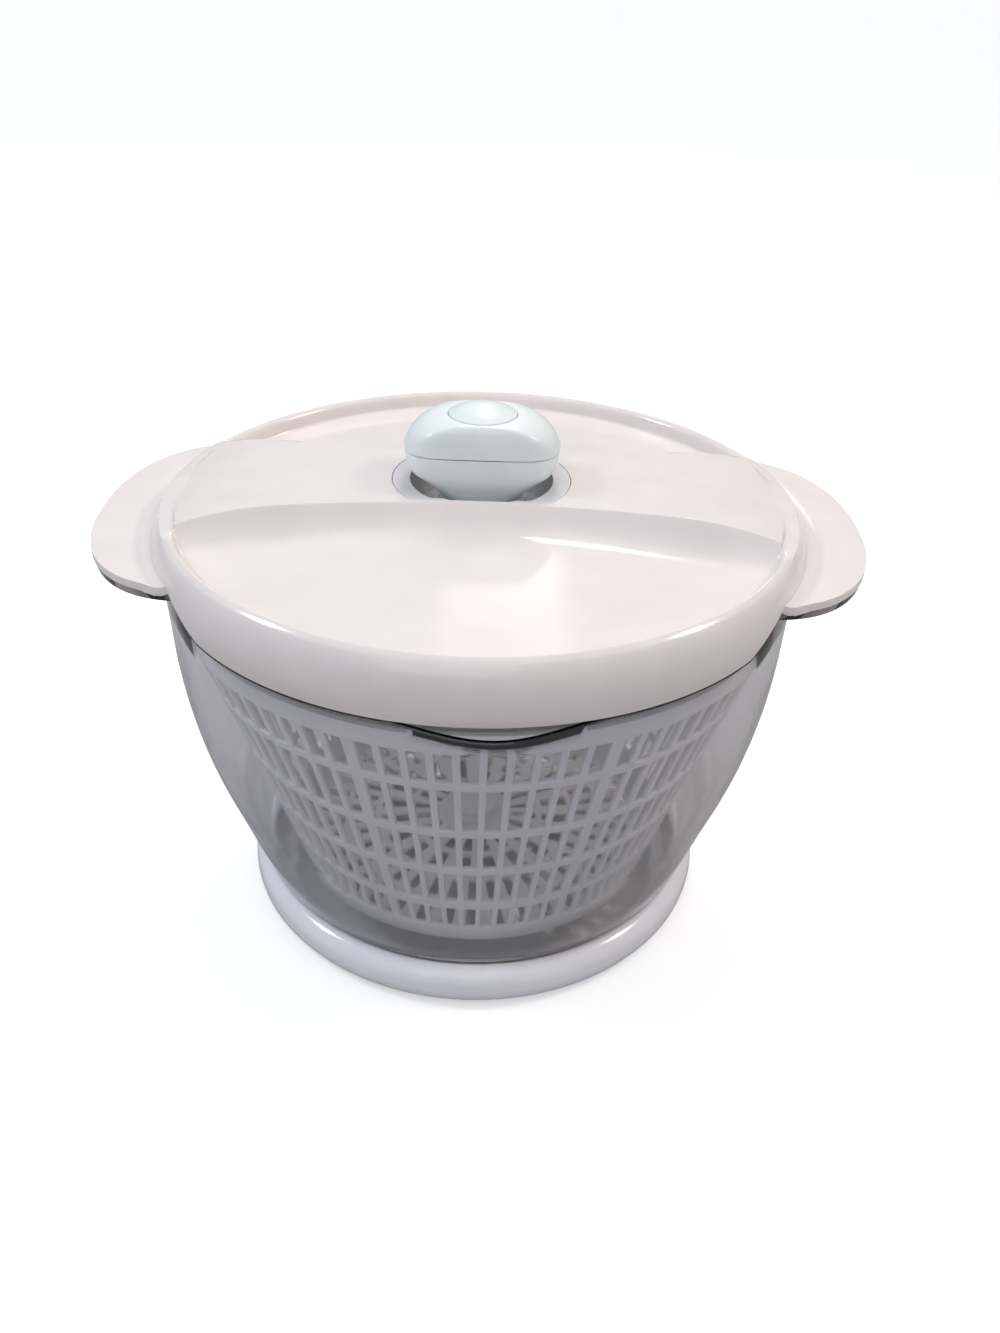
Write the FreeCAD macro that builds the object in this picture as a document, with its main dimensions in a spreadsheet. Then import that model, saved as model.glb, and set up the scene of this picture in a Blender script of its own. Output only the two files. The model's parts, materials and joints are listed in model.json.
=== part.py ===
"""Salad spinner: a pump-driven basket in a clear bowl under a two-eared lid.

Millimetres, +Z up.  The origin is on the surface it stands on, under the spinning axis.
+X points to the right-hand ear and -Y to the pouring spout.
"""
import FreeCAD, Part
import math
import os
import re

import Sketcher

V = FreeCAD.Vector
PARTS_DIR = "parts"

# ---------------------------------------------------------------------------
# Sizes: alias, number or the formula that ties it to other sizes, what it is
# ---------------------------------------------------------------------------
SIZES = [
    # base ring and feet
    ("foot_height", 1.5, "rubber foot stands below the base ring"),
    ("foot_inner_radius", 95.0, "rubber foot ring, inside"),
    ("foot_outer_radius", 100.0, "rubber foot ring, outside"),
    ("foot_seat_depth", 1.5, "depth of the groove that holds the rubber foot"),
    ("base_bottom_radius", 104.0, "base ring where it nears the table"),
    ("base_bulge_radius", 106.0, "widest line of the base ring"),
    ("base_bulge_height", 8.0, "height of that widest line"),
    ("base_height", 19.0, "top edge of the base ring"),
    ("base_inner_radius", 89.0, "inside of the base ring under the bowl"),
    ("base_bowl_gap", 0.2, "gap between base ring and bowl foot"),
    ("base_screw_count", 4, "screws that hold the ring to the bowl"),
    # bowl
    ("bowl_wall", 2.5, "wall of the clear bowl"),
    ("bowl_foot_radius", 97.5, "bowl foot inside the base ring"),
    ("bowl_foot_height", 5.0, "underside of the bowl floor"),
    ("bowl_step_height", 17.5, "where the foot ends and the shoulder starts"),
    ("bowl_shoulder_radius", 102.5, "shoulder over the base ring"),
    ("bowl_shoulder_height", 24.5, "shoulder height"),
    ("bowl_waist_radius", 115.7, "end of the straight lower wall"),
    ("bowl_waist_height", 65.0, "end of the straight lower wall"),
    ("bowl_rim_radius", 131.0, "outside of the rim"),
    ("bowl_upper_radius", "=bowl_rim_radius - 1", "start of the upright top band"),
    ("bowl_upper_height", 145.0, "start of the upright top band"),
    ("bowl_belly_curve", 250.0, "radius of the wall's curve"),
    ("bowl_rim_height", 163.2, "top of the rim"),
    ("spout_proud", 3.0, "the pouring lip stands this far out from the rim"),
    ("spout_reach", "=bowl_rim_radius + spout_proud", "front of the pouring lip"),
    ("spout_half_width", 34.0, "half the width of the pouring lip"),
    ("spout_dip", 3.8, "the lip is this much lower than the rim"),
    ("spout_depth", 20.0, "height of the lip's flare"),
    ("spout_flare", 4.4, "how far the flare leans out"),
    # pivot under the basket
    ("pivot_radius", 3.0, "steel pin"),
    ("pivot_top", 24.0, "top of the pin"),
    ("pivot_boss_radius", 13.0, "boss in the bowl floor"),
    ("pivot_boss_top", 13.0, "top of that boss"),
    ("running_gap", 0.06, "radial running clearance"),
    ("seat_gap", 0.3, "clearance where one body rests on another"),
    ("bush_radius", 7.0, "outside of the pivot bush"),
    ("bush_cap", 1.7, "closed end of the pivot bush"),
    ("hub_wall", 3.0, "wall of the basket hub"),
    # basket
    ("basket_floor_height", 19.0, "underside of the basket floor"),
    ("basket_wall", 2.0, "wall of the basket"),
    ("basket_floor_radius", 79.0, "flat part of the floor"),
    ("basket_foot_radius", 85.6, "start of the cone wall"),
    ("basket_foot_height", 23.0, "start of the cone wall"),
    ("basket_gap", 3.8, "gap between basket and bowl at the top"),
    ("basket_top_radius", "=bowl_rim_radius - bowl_wall - basket_gap", "outside at the top"),
    ("basket_cone_height", 150.0, "end of the cone wall"),
    ("basket_height", 155.5, "top of the basket rim"),
    ("basket_rim_wall", 3.4, "thickness of the rim"),
    ("slot_groups", 8, "groups of slots round the wall"),
    ("slots_in_group", 10, "slots in a group"),
    ("slot_pitch", 4.4, "degrees from slot to slot"),
    ("slot_open", 3.05, "degrees that a slot is open"),
    ("rib_turn", 25.0, "degrees from the +X axis to a broad rib"),
    ("dog_width", 6.0, "rib that the drive plate turns, width"),
    ("dog_depth", 4.0, "rib that the drive plate turns, depth"),
    ("dog_drop", 9.0, "rib that the drive plate turns, length"),
    # lid
    ("lid_wall", 2.8, "wall of the lid"),
    ("lid_overlap", 0.2, "the lid's edge stands out from the bowl's rim"),
    ("lid_edge_radius", "=bowl_rim_radius + lid_overlap", "lower edge of the lid"),
    ("lid_edge_height", "=bowl_rim_height + seat_gap", "lower edge of the lid"),
    ("rim_side_radius", "=lid_edge_radius + 2.2", "top of the rim's side"),
    ("rim_side_height", 184.0, "top of the rim's side"),
    ("rim_side_curve", 26.0, "curve of the rim's side"),
    ("rim_crest_radius", "=rim_side_radius - 5.1", "crest of the rolled rim"),
    ("rim_crest_height", 189.0, "crest of the rolled rim"),
    ("rim_outer_curve", 6.5, "curve from the crest outwards"),
    ("rim_inner_curve", 7.5, "curve from the crest inwards"),
    ("dish_edge_radius", "=rim_crest_radius - 5.3", "crease between rim and dish"),
    ("dish_edge_height", 182.6, "crease between rim and dish"),
    ("dish_centre_height", 188.4, "dish surface on the axis"),
    ("dish_curve", 1400.0, "slow hollow curve of the dish"),
    ("skirt_gap", 2.1, "gap between skirt and bowl"),
    ("skirt_outer_radius", "=bowl_rim_radius - bowl_wall - skirt_gap", "skirt that locates the lid"),
    ("skirt_wall", 2.2, "wall of that skirt"),
    ("skirt_bottom", 158.0, "lower edge of that skirt"),
    ("band_half_width", 25.4, "half the width of the raised band on the axis"),
    ("band_curve", 403.0, "radius of the band's two long edges"),
    ("band_top", 196.8, "top of the band on the axis"),
    ("band_shoulder_x", "=band_end_x - 44", "where the band's top starts to fall"),
    ("band_shoulder_height", 196.6, "height there"),
    ("band_end_x", "=rim_crest_radius - 0.3", "where the band meets the rim"),
    ("band_end_height", 187.0, "height there"),
    ("band_fall_curve", 120.0, "curve of the falling end"),
    # ears
    ("ear_proud", 23.0, "the ear stands this far out from the rim's side"),
    ("ear_reach", "=rim_side_radius + ear_proud", "tip of the ear"),
    ("ear_tip_half", 14.0, "half width of the flat tip"),
    ("ear_shoulder_x", "=ear_reach - 31.4", "where the ear starts to turn"),
    ("ear_shoulder_y", 68.0, "where the ear starts to turn"),
    ("ear_corner_x", "=ear_reach - 14.4", "corner of the ear"),
    ("ear_corner_y", 55.5, "corner of the ear"),
    ("ear_root_x", "=rim_side_radius - 23.4", "root of the ear, inside the rim"),
    ("ear_root_y", 70.5, "root of the ear"),
    ("ear_tip_curve", 170.0, "curve of the tip"),
    ("ear_side_curve", 75.0, "curve between tip and corner"),
    ("ear_corner_curve", 42.0, "curve of the corner"),
    ("ear_top", 180.0, "top of the lid's ear"),
    ("ear_thickness", 3.2, "thickness of each ear"),
    ("ear_inset", 0.6, "the bowl's ear is this much smaller"),
    ("ear_angle", 34.0, "half the angle where the joint line is raised"),
    # well in the band
    ("well_radius", 30.0, "opening in the band"),
    ("well_half_width", 21.8, "half the opening from front to back"),
    ("collar_radius", 36.5, "outside of the collar"),
    ("collar_height", 3.0, "thickness of the collar"),
    ("collar_proud", 0.2, "the collar lies this far below the band"),
    ("collar_gap", 0.3, "gap around the collar"),
    ("collar_sleeve", 1.5, "wall of the collar's sleeve in the well"),
    ("bell_room", 26.0, "room round the bell in the top of the well"),
    ("bell_room_bottom", 191.5, "foot of that room"),
    ("deck_thickness", 2.2, "deck under the collar"),
    ("ridge_wall", 1.9, "wall of the ridges beside the well"),
    # mechanism housing
    ("stem_radius", 14.7, "hollow stem of the knob"),
    ("stem_bore", 11.5, "bore of the stem"),
    ("housing_wall", 3.2, "wall of the housing"),
    ("housing_bottom", 142.0, "underside of the housing"),
    ("housing_floor", 2.5, "floor of the housing"),
    ("flange_top", 181.6, "top of the housing's flange"),
    ("flange_thickness", 2.5, "thickness of the flange"),
    ("flange_radius", 43.0, "radius of the flange"),
    ("housing_collar", 3.6, "the housing's bore stands above its flange"),
    ("gland_radius", 21.0, "grey ring over that collar"),
    ("gland_top", 186.9, "top of the grey ring"),
    ("post_circle", 38.0, "circle of the housing screws"),
    ("post_angle", 16.0, "screws stand this far from the X axis"),
    ("post_radius", 3.6, "screw post"),
    ("screw_radius", 1.5, "thread of the screws"),
    ("screw_head_radius", 3.0, "head of the screws"),
    ("screw_head_height", 2.0, "head of the screws"),
    ("screw_length", 7.0, "thread length of the screws"),
    ("small_screw_radius", 0.9, "thread of the nut's screws"),
    ("small_screw_head_radius", 1.6, "head of those screws"),
    ("small_screw_head_height", 1.0, "head of those screws"),
    ("cap_screw_radius", 1.1, "thread of the hub cap's screws"),
    ("cap_screw_head_radius", 2.2, "head of those screws"),
    ("cap_screw_head_height", 1.4, "head of those screws"),
    ("liner_thickness", 2.0, "cover under the lid"),
    ("liner_bottom", 162.0, "underside of that cover"),
    ("liner_gap", 1.6, "gap between that cover and the skirt"),
    ("liner_radius", "=skirt_outer_radius - skirt_wall - liner_gap", "edge of that cover"),
    ("liner_posts", 6, "screws of that cover"),
    ("liner_circle", "=liner_radius - 18.6", "circle of those screws"),
    # spindle, nut and spring
    ("knob_travel", 30.0, "how far the knob rises"),
    ("twist_lead", 40.0, "rise for one turn of the spindle"),
    ("spindle_width", 9.0, "twisted bar, width"),
    ("spindle_thickness", 3.6, "twisted bar, thickness"),
    ("spindle_top", 218.6, "top of the twisted bar"),
    ("twist_start", 149.0, "bottom of the twist"),
    ("journal_radius", 5.0, "round foot of the spindle"),
    ("thrust_radius", 8.0, "collar that rests on the housing's floor"),
    ("nut_gap", 0.25, "gap between nut and twisted bar"),
    ("nut_floor", 184.0, "underside of the floor that holds the nut"),
    ("nut_floor_thickness", 2.5, "thickness of that floor"),
    ("nut_flange_radius", 10.5, "flange of the nut"),
    ("nut_flange_height", 3.0, "flange of the nut"),
    ("nut_boss_radius", 6.4, "boss of the nut"),
    ("nut_screw_circle", "=nut_flange_radius - 2.1", "circle of the nut's screws"),
    ("spring_radius", 9.6, "return spring, mean radius"),
    ("spring_wire", 0.7, "return spring, wire radius"),
    ("spring_turns", 8.5, "return spring, turns"),
    ("spring_end_gap", 0.1, "gap at the ends of the return spring"),
    # drive plate and clutch
    ("clip_thickness", 1.2, "steel ring that carries the drive plate"),
    ("drive_bush_wall", 2.4, "wall of the drive plate's bush"),
    ("drive_hub_wall", 5.0, "wall of the drive plate's hub"),
    ("drive_hub_top", 157.5, "top of the hub"),
    ("drive_hub_bottom", 133.0, "bottom of the hub"),
    ("plate_height", 150.6, "underside of the drive plate"),
    ("plate_thickness", 2.2, "thickness of the drive plate"),
    ("plate_gap", 0.9, "gap between plate and basket rim"),
    ("plate_cone_radius", 60.0, "outer end of the plate's cone"),
    ("plate_cone_height", 139.0, "underside of the cone at the hub"),
    ("ratchet_teeth", 24, "teeth inside the ratchet ring"),
    ("ratchet_radius", 13.0, "tips of those teeth"),
    ("ratchet_depth", 1.3, "depth of those teeth"),
    ("ratchet_height", 7.5, "height of the ratchet ring"),
    ("carrier_radius", 11.6, "pawl carrier"),
    ("pawl_width", 3.2, "pawl"),
    ("pawl_reach", 12.7, "tip of the pawl, drawn in"),
    ("pawl_count", 3, "pawls"),
    ("hub_cap_thickness", 3.0, "cap under the hub"),
    # knob
    ("neck_height", 187.6, "lower end of the bell"),
    ("bell_radius", 29.0, "upper end of the bell's taper"),
    ("bell_shoulder_height", 202.0, "height of that end"),
    ("bell_curve", 48.0, "curve of the taper"),
    ("bell_shoulder_curve", 14.0, "curve from the taper to the widest line"),
    ("knob_radius", 31.7, "widest line of the knob"),
    ("knob_wide_height", 211.0, "height of that line"),
    ("seam_height", "=knob_wide_height", "seam between bell and cap"),
    ("knob_half_depth", 18.0, "the knob is cut flat this far in front and behind"),
    ("knob_front_curve", 17.0, "curve of the cap's front and back"),
    ("knob_shoulder_curve", 17.0, "curve of the cap's shoulder"),
    ("knob_wall", 2.6, "wall of bell and cap"),
    ("inlay_radius", 13.7, "button in the top of the knob"),
    ("inlay_edge_height", 224.4, "edge of the button"),
    ("knob_top", 228.2, "top of the knob"),
    ("button_gap", 0.25, "gap around the button"),
    ("button_travel", 2.0, "how far the button goes down"),
    ("guide_floor", "=seam_height + 0.2", "ledge under the button"),
    ("guide_ledge", 1.4, "thickness of that ledge"),
    ("guide_wall", 2.0, "wall of the button's guide"),
    ("button_flange", 1.0, "flange that keeps the button in"),
    ("button_foot", 217.4, "lower end of the button"),
    ("button_spring_wire", 0.35, "button spring, wire radius"),
    ("button_spring_turns", 2.5, "button spring, turns"),
]

doc = FreeCAD.newDocument("SaladSpinner")
sheet = doc.addObject("Spreadsheet::Sheet", "Sizes")
for row, (alias, number, note) in enumerate(SIZES, start=1):
    sheet.set(f"A{row}", alias)
    sheet.set(f"B{row}", str(number))
    sheet.set(f"C{row}", note)
    sheet.setAlias(f"B{row}", alias)
doc.recompute()

ALIASES = {alias for alias, number, note in SIZES}
PIECES = []


def size(text):
    """The number that an expression in the sheet's own words stands for."""
    return float(sheet.evalExpression(str(text)))


def bound(text):
    """The same expression as the rest of the document writes it."""
    return re.sub(r"[a-z_]+", lambda m: "Sizes." + m[0] if m[0] in ALIASES else m[0], str(text))


def bind(thing, prop, text):
    thing.setExpression(prop, bound(text))


def piece(thing, name):
    """Marks a finished piece: its label is its node's name."""
    thing.Label = name
    PIECES.append(thing)
    return thing


# ---------------------------------------------------------------------------
# Sketches: an outline is a list of corners (across, up) or (across, up, radius);
# a radius makes the side that starts there an arc, negative for the other way
# ---------------------------------------------------------------------------
def arc_between(start, end, radius):
    """The short arc from start to end and whether it runs backwards."""
    middle = (start + end) * 0.5
    chord = end - start
    half = chord.Length / 2
    rise = math.sqrt(max(radius * radius - half * half, 0.0))
    side = V(-chord.y, chord.x, 0).normalize() * math.copysign(rise, radius)
    circle = Part.Circle(middle + side, V(0, 0, 1), abs(radius))
    first, last = (start, end) if radius > 0 else (end, start)
    arc = Part.ArcOfCircle(circle, circle.parameter(first), circle.parameter(last))
    return arc, radius < 0


def draw(sketch, outline):
    corners = [V(size(c[0]), size(c[1]), 0) for c in outline]
    sides = []
    for i, corner in enumerate(outline):
        start, end = corners[i], corners[(i + 1) % len(corners)]
        backwards = False
        side = Part.LineSegment(start, end)
        if len(corner) == 3:
            side, backwards = arc_between(start, end, size(corner[2]))
        number = sketch.addGeometry(side, False)
        sides.append((number, 2 if backwards else 1, 1 if backwards else 2))
        if len(corner) == 3:
            curve = Sketcher.Constraint("Radius", number, abs(size(corner[2])))
            bind(sketch, f"Constraints[{sketch.addConstraint(curve)}]", f"abs({corner[2]})")
    for i, (number, first, last) in enumerate(sides):
        following = sides[(i + 1) % len(sides)]
        sketch.addConstraint(Sketcher.Constraint("Coincident", number, last, following[0], following[1]))
    for (number, first, last), corner, place in zip(sides, outline, corners):
        for kind, text, value in (("DistanceX", corner[0], place.x), ("DistanceY", corner[1], place.y)):
            where = sketch.addConstraint(Sketcher.Constraint(kind, -1, 1, number, first, value))
            bind(sketch, f"Constraints[{where}]", text)


def body_sketch(body, role, name):
    sketch = body.newObject("Sketcher::SketchObject", name)
    plane = next(f for f in body.Origin.OriginFeatures if f.Role == role)
    sketch.AttachmentSupport = (plane, [""])
    sketch.MapMode = "FlatFace"
    return sketch


def turned_body(name, outline):
    """A body turned about Z from an outline of (radius, height) corners."""
    body = doc.addObject("PartDesign::Body", name)
    sketch = body_sketch(body, "XZ_Plane", name + "_section")
    draw(sketch, outline)
    turn = body.newObject("PartDesign::Revolution", name + "_turn")
    turn.Profile = sketch
    turn.ReferenceAxis = (sketch, ["V_Axis"])
    turn.Angle = 360
    sketch.Visibility = False
    doc.recompute()
    return body


def turned(name, outline):
    return piece(turned_body(name, outline), name)


def drill(body, name, hole_radius, circle, count, turn, low, high):
    """A ring of round holes through the body between two heights."""
    before = body.Shape.Volume
    sketch = body_sketch(body, "XY_Plane", name + "_hole")
    across, along = f"({circle}) * cos({turn})", f"({circle}) * sin({turn})"
    middle = polar(size(circle), size(turn))
    sketch.addGeometry(Part.Circle(middle, V(0, 0, 1), size(hole_radius)), False)
    sketch.addConstraint(Sketcher.Constraint("Radius", 0, size(hole_radius)))
    sketch.addConstraint(Sketcher.Constraint("DistanceX", -1, 1, 0, 3, middle.x))
    sketch.addConstraint(Sketcher.Constraint("DistanceY", -1, 1, 0, 3, middle.y))
    for number, text in enumerate((hole_radius, across, along)):
        bind(sketch, f"Constraints[{number}]", text)
    bind(sketch, "AttachmentOffset.Base.z", low)
    pocket = body.newObject("PartDesign::Pocket", name + "_pocket")
    pocket.Profile = sketch
    pocket.Reversed = True
    bind(pocket, "Length", f"({high}) - ({low})")
    ring = body.newObject("PartDesign::PolarPattern", name + "_ring")
    ring.Originals = [pocket]
    ring.Axis = (next(f for f in body.Origin.OriginFeatures if f.Role == "Z_Axis"), [""])
    ring.Angle = 360
    bind(ring, "Occurrences", count)
    body.Tip = ring
    sketch.Visibility = False
    doc.recompute()
    if body.Shape.Volume > before - 0.5:
        raise RuntimeError(name + " cut nothing")


# ---------------------------------------------------------------------------
# Free shapes for the pieces that are built with booleans
# ---------------------------------------------------------------------------
def flat_sketch(name, outline, height="0"):
    sketch = doc.addObject("Sketcher::SketchObject", name)
    draw(sketch, outline)
    bind(sketch, "Placement.Base.z", height)
    return sketch


def upright_sketch(name, outline):
    sketch = doc.addObject("Sketcher::SketchObject", name)
    draw(sketch, outline)
    sketch.Placement = FreeCAD.Placement(V(0, 0, 0), FreeCAD.Rotation(V(1, 0, 0), 90))
    return sketch


def revolved(name, outline):
    solid = doc.addObject("Part::Revolution", name)
    solid.Source = upright_sketch(name + "_outline", outline)
    solid.Axis = V(0, 0, 1)
    solid.Angle = 360
    solid.Solid = True
    return solid


def raised(name, outline, low, high):
    """A plate of an XY outline from one height to another."""
    solid = doc.addObject("Part::Extrusion", name)
    solid.Base = flat_sketch(name + "_outline", outline, low)
    solid.DirMode = "Custom"
    solid.Dir = V(0, 0, 1)
    bind(solid, "LengthFwd", f"({high}) - ({low})")
    solid.Solid = True
    return solid


def across(name, outline, half_length):
    """An XZ outline pulled both ways along Y."""
    solid = doc.addObject("Part::Extrusion", name)
    solid.Base = upright_sketch(name + "_outline", outline)
    solid.DirMode = "Custom"
    solid.Dir = V(0, 1, 0)
    bind(solid, "LengthFwd", half_length)
    bind(solid, "LengthRev", half_length)
    solid.Solid = True
    return solid


def box(name, low, high):
    solid = doc.addObject("Part::Box", name)
    for prop, place, a, b in zip(("Length", "Width", "Height"), "xyz", low, high):
        bind(solid, prop, f"({b}) - ({a})")
        bind(solid, f"Placement.Base.{place}", a)
    return solid


def disc(name, radius, low, high, x="0", y="0"):
    solid = doc.addObject("Part::Cylinder", name)
    bind(solid, "Radius", radius)
    bind(solid, "Height", f"({high}) - ({low})")
    bind(solid, "Placement.Base.x", x)
    bind(solid, "Placement.Base.y", y)
    bind(solid, "Placement.Base.z", low)
    return solid


def cone(name, low_radius, high_radius, low, high, y="0"):
    solid = doc.addObject("Part::Cone", name)
    bind(solid, "Radius1", low_radius)
    bind(solid, "Radius2", high_radius)
    bind(solid, "Height", f"({high}) - ({low})")
    bind(solid, "Placement.Base.y", y)
    bind(solid, "Placement.Base.z", low)
    return solid


def fused(name, shapes):
    solid = doc.addObject("Part::MultiFuse", name)
    solid.Shapes = shapes
    return solid


def common(name, shapes):
    solid = doc.addObject("Part::MultiCommon", name)
    solid.Shapes = shapes
    return solid


def minus(name, base, tool):
    solid = doc.addObject("Part::Cut", name)
    solid.Base = base
    solid.Tool = tool
    return solid


def plain(name, shape):
    """A piece or tool whose shape is worked out here from the sheet."""
    thing = doc.addObject("Part::Feature", name)
    thing.Shape = shape
    thing.Placement = FreeCAD.Placement()
    return thing


def polar(radius, degrees, height=0.0):
    angle = math.radians(degrees)
    return V(radius * math.cos(angle), radius * math.sin(angle), height)


def posts(name, circle, angles, radius, low, high):
    """Round posts standing on a circle."""
    return plain(name, Part.makeCompound([
        Part.makeCylinder(size(radius), size(f"({high}) - ({low})"), polar(size(circle), angle, size(low)))
        for angle in angles]))


def screws(name, circle, angles, seat, length="screw_length", up=True):
    """Pan-head screws on a circle; the heads bear on the height called seat."""
    way = 1 if up else -1
    solids = []
    for angle in angles:
        foot = polar(size(circle), angle, size(seat))
        shank = Part.makeCylinder(size("screw_radius"), size(length), foot, V(0, 0, way))
        thick = size("screw_head_height")
        head = Part.makeCylinder(size("screw_head_radius"), thick, foot, V(0, 0, -way))
        under = foot - V(0, 0, way * thick)
        socket = Part.makeCylinder(size("screw_radius * 0.8"), thick / 2, under, V(0, 0, way))
        solids.append(shank.fuse(head).removeSplitter().cut(socket))
    return piece(plain(name, Part.makeCompound(solids)), name)


# ---------------------------------------------------------------------------
# Base ring and rubber foot
# ---------------------------------------------------------------------------
foot_seat = "foot_height + foot_seat_depth"
base_ring = turned_body("base_ring", [
    ("base_inner_radius", "foot_height"), ("foot_inner_radius", "foot_height"),
    ("foot_inner_radius", foot_seat), ("foot_outer_radius", foot_seat),
    ("foot_outer_radius", "foot_height"), ("base_bottom_radius", "foot_height", "11"),
    ("base_bulge_radius", "base_bulge_height", "16"), ("base_bulge_radius - 3", "base_height - 2", "3"),
    ("bowl_foot_radius + base_bowl_gap + 1", "base_height"),
    ("bowl_foot_radius + base_bowl_gap", "base_height - 1"),
    ("bowl_foot_radius + base_bowl_gap", "bowl_foot_height"), ("base_inner_radius", "bowl_foot_height"),
])
base_screw_circle = "base_inner_radius + 2"
base_screw_bite = "(bowl_wall - 0.5)"
BASE_ANGLES = [45 + 360 / size("base_screw_count") * k for k in range(int(size("base_screw_count")))]
drill(base_ring, "base_ring", "screw_radius + 0.2", base_screw_circle, "base_screw_count", "45",
      "foot_height - 1", "bowl_foot_height + 1")
piece(base_ring, "base_ring")

turned("foot_ring", [
    ("foot_inner_radius", "0"), ("foot_outer_radius", "0"),
    ("foot_outer_radius", foot_seat), ("foot_inner_radius", foot_seat),
])

# ---------------------------------------------------------------------------
# Bowl: turned shell, raised walls and ears left and right, pouring lip in front
# ---------------------------------------------------------------------------
bowl_outside = [
    ("0", "bowl_foot_height"), ("bowl_foot_radius - 3", "bowl_foot_height", "3"),
    ("bowl_foot_radius", "bowl_foot_height + 3"), ("bowl_foot_radius", "bowl_step_height", "-9"),
    ("bowl_shoulder_radius", "bowl_shoulder_height"),
    ("bowl_waist_radius", "bowl_waist_height", "bowl_belly_curve"),
    ("bowl_upper_radius", "bowl_upper_height"), ("bowl_rim_radius", "bowl_rim_height"),
    ("0", "bowl_rim_height"),
]
bowl_inside = [
    ("0", "bowl_foot_height + bowl_wall"),
    ("bowl_foot_radius - bowl_wall - 3", "bowl_foot_height + bowl_wall", "3"),
    ("bowl_foot_radius - bowl_wall", "bowl_foot_height + bowl_wall + 3"),
    ("bowl_foot_radius - bowl_wall", "bowl_step_height + 1", "-9"),
    ("bowl_shoulder_radius - bowl_wall", "bowl_shoulder_height + 1"),
    ("bowl_waist_radius - bowl_wall", "bowl_waist_height + 1", "bowl_belly_curve"),
    ("bowl_upper_radius - bowl_wall", "bowl_upper_height"),
    ("bowl_rim_radius - bowl_wall", "bowl_rim_height"), ("bowl_rim_radius - bowl_wall", "ear_top"),
    ("0", "ear_top"),
]


def ear_outline(inset, sign):
    """One ear's outline, seen from above, running anticlockwise for both sides."""
    half = [
        ("ear_root_x", f"ear_root_y - {inset}"),
        ("ear_shoulder_x", f"ear_shoulder_y - {inset}", "-ear_corner_curve"),
        (f"ear_corner_x - {inset}", "ear_corner_y", "-ear_side_curve"),
        (f"ear_reach - {inset}", "ear_tip_half", "-ear_tip_curve"),
    ]
    lower = [
        (f"ear_reach - {inset}", "-ear_tip_half", "-ear_side_curve"),
        (f"ear_corner_x - {inset}", "-ear_corner_y", "-ear_corner_curve"),
        ("ear_shoulder_x", f"{inset} - ear_shoulder_y"),
        ("ear_root_x", f"{inset} - ear_root_y"),
    ]
    return [(f"{sign} * ({x})", f"{sign} * ({y})", *curve) for x, y, *curve in half + lower]


bowl_ear_low = "ear_top - 2 * ear_thickness - seat_gap"
bowl_ear_high = "ear_top - ear_thickness - seat_gap"


def ear_wedges(name, low, high, spare="0"):
    """Two wedges from the axis that take in the stretches of rim under the ears."""
    reach = size("ear_reach") * 1.2
    wedges = []
    for middle in (0, 180):
        corners = [V(0, 0, size(low))]
        corners += [polar(reach, middle + k * size(f"ear_angle + {spare}"), size(low)) for k in (-1, 0, 1)]
        face = Part.Face(Part.makePolygon(corners + corners[:1]))
        wedges.append(face.extrude(V(0, 0, size(f"({high}) - ({low})"))))
    return plain(name, Part.makeCompound(wedges))


rim_out = disc("bowl_rim_out", "bowl_rim_radius", "bowl_rim_height", bowl_ear_high)
rim_in = disc("bowl_rim_in", "bowl_rim_radius - bowl_wall", "bowl_rim_height", bowl_ear_high)
rim_wedges = ear_wedges("bowl_wedges", "bowl_rim_height", bowl_ear_high)
bowl_raised = common("bowl_raised", [minus("bowl_rim_tube", rim_out, rim_in), rim_wedges])
bowl_ears = [raised(f"bowl_ear_{n}", ear_outline("ear_inset", s), bowl_ear_low, bowl_ear_high)
             for n, s in (("right", 1), ("left", -1))]

# the lip is a cone whose circle passes through the lip's two ends and its front
lip_chord_y = "sqrt(bowl_rim_radius ^ 2 - spout_half_width ^ 2)"
lip_rise = f"(spout_reach - {lip_chord_y})"
lip_radius = f"((spout_half_width ^ 2 + {lip_rise} ^ 2) / (2 * {lip_rise}))"
lip_y = f"({lip_radius} - spout_reach)"
lip_top = "bowl_rim_height - spout_dip"
lip_low = f"{lip_top} - spout_depth"
lip_out = cone("lip_out", f"{lip_radius} - spout_flare", lip_radius, lip_low, lip_top, lip_y)
lip_in = cone("lip_in", f"{lip_radius} - spout_flare - bowl_wall", f"{lip_radius} - bowl_wall",
              lip_low, lip_top, lip_y)
front = box("lip_front", ("-spout_half_width * 1.2", "-spout_reach - 5", lip_low),
            ("spout_half_width * 1.2", "-bowl_rim_radius * 0.9", lip_top))
notch = box("lip_notch", ("-spout_half_width", "-spout_reach - 5", lip_top),
            ("spout_half_width", "-bowl_rim_radius * 0.9", "bowl_rim_height + 1"))

boss = cone("pivot_boss", "pivot_boss_radius", "bush_radius + 1", "bowl_foot_height + 1", "pivot_boss_top")
pin_hole = disc("pin_hole", "pivot_radius", "bowl_foot_height + 1", "pivot_boss_top + 1")
bowl_solid = fused("bowl_solid", [revolved("bowl_outer", bowl_outside), common("lip_outer", [lip_out, front]),
                                  bowl_raised] + bowl_ears)
bowl_hollow = fused("bowl_hollow", [revolved("bowl_inner", bowl_inside),
                                    common("lip_inner", [lip_in, front]), notch])
bowl_shell = minus("bowl_shell", bowl_solid, bowl_hollow)
bowl_holes = posts("bowl_screw_holes", base_screw_circle, BASE_ANGLES, "screw_radius",
                   "bowl_foot_height - 0.5", f"bowl_foot_height + {base_screw_bite}")
bowl_bossed = fused("bowl_bossed", [bowl_shell, boss])
piece(minus("bowl_whole", bowl_bossed, fused("bowl_drills", [pin_hole, bowl_holes])), "bowl")

screws("base_screws", base_screw_circle, BASE_ANGLES, "foot_height",
       f"bowl_foot_height - foot_height + {base_screw_bite}")

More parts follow.
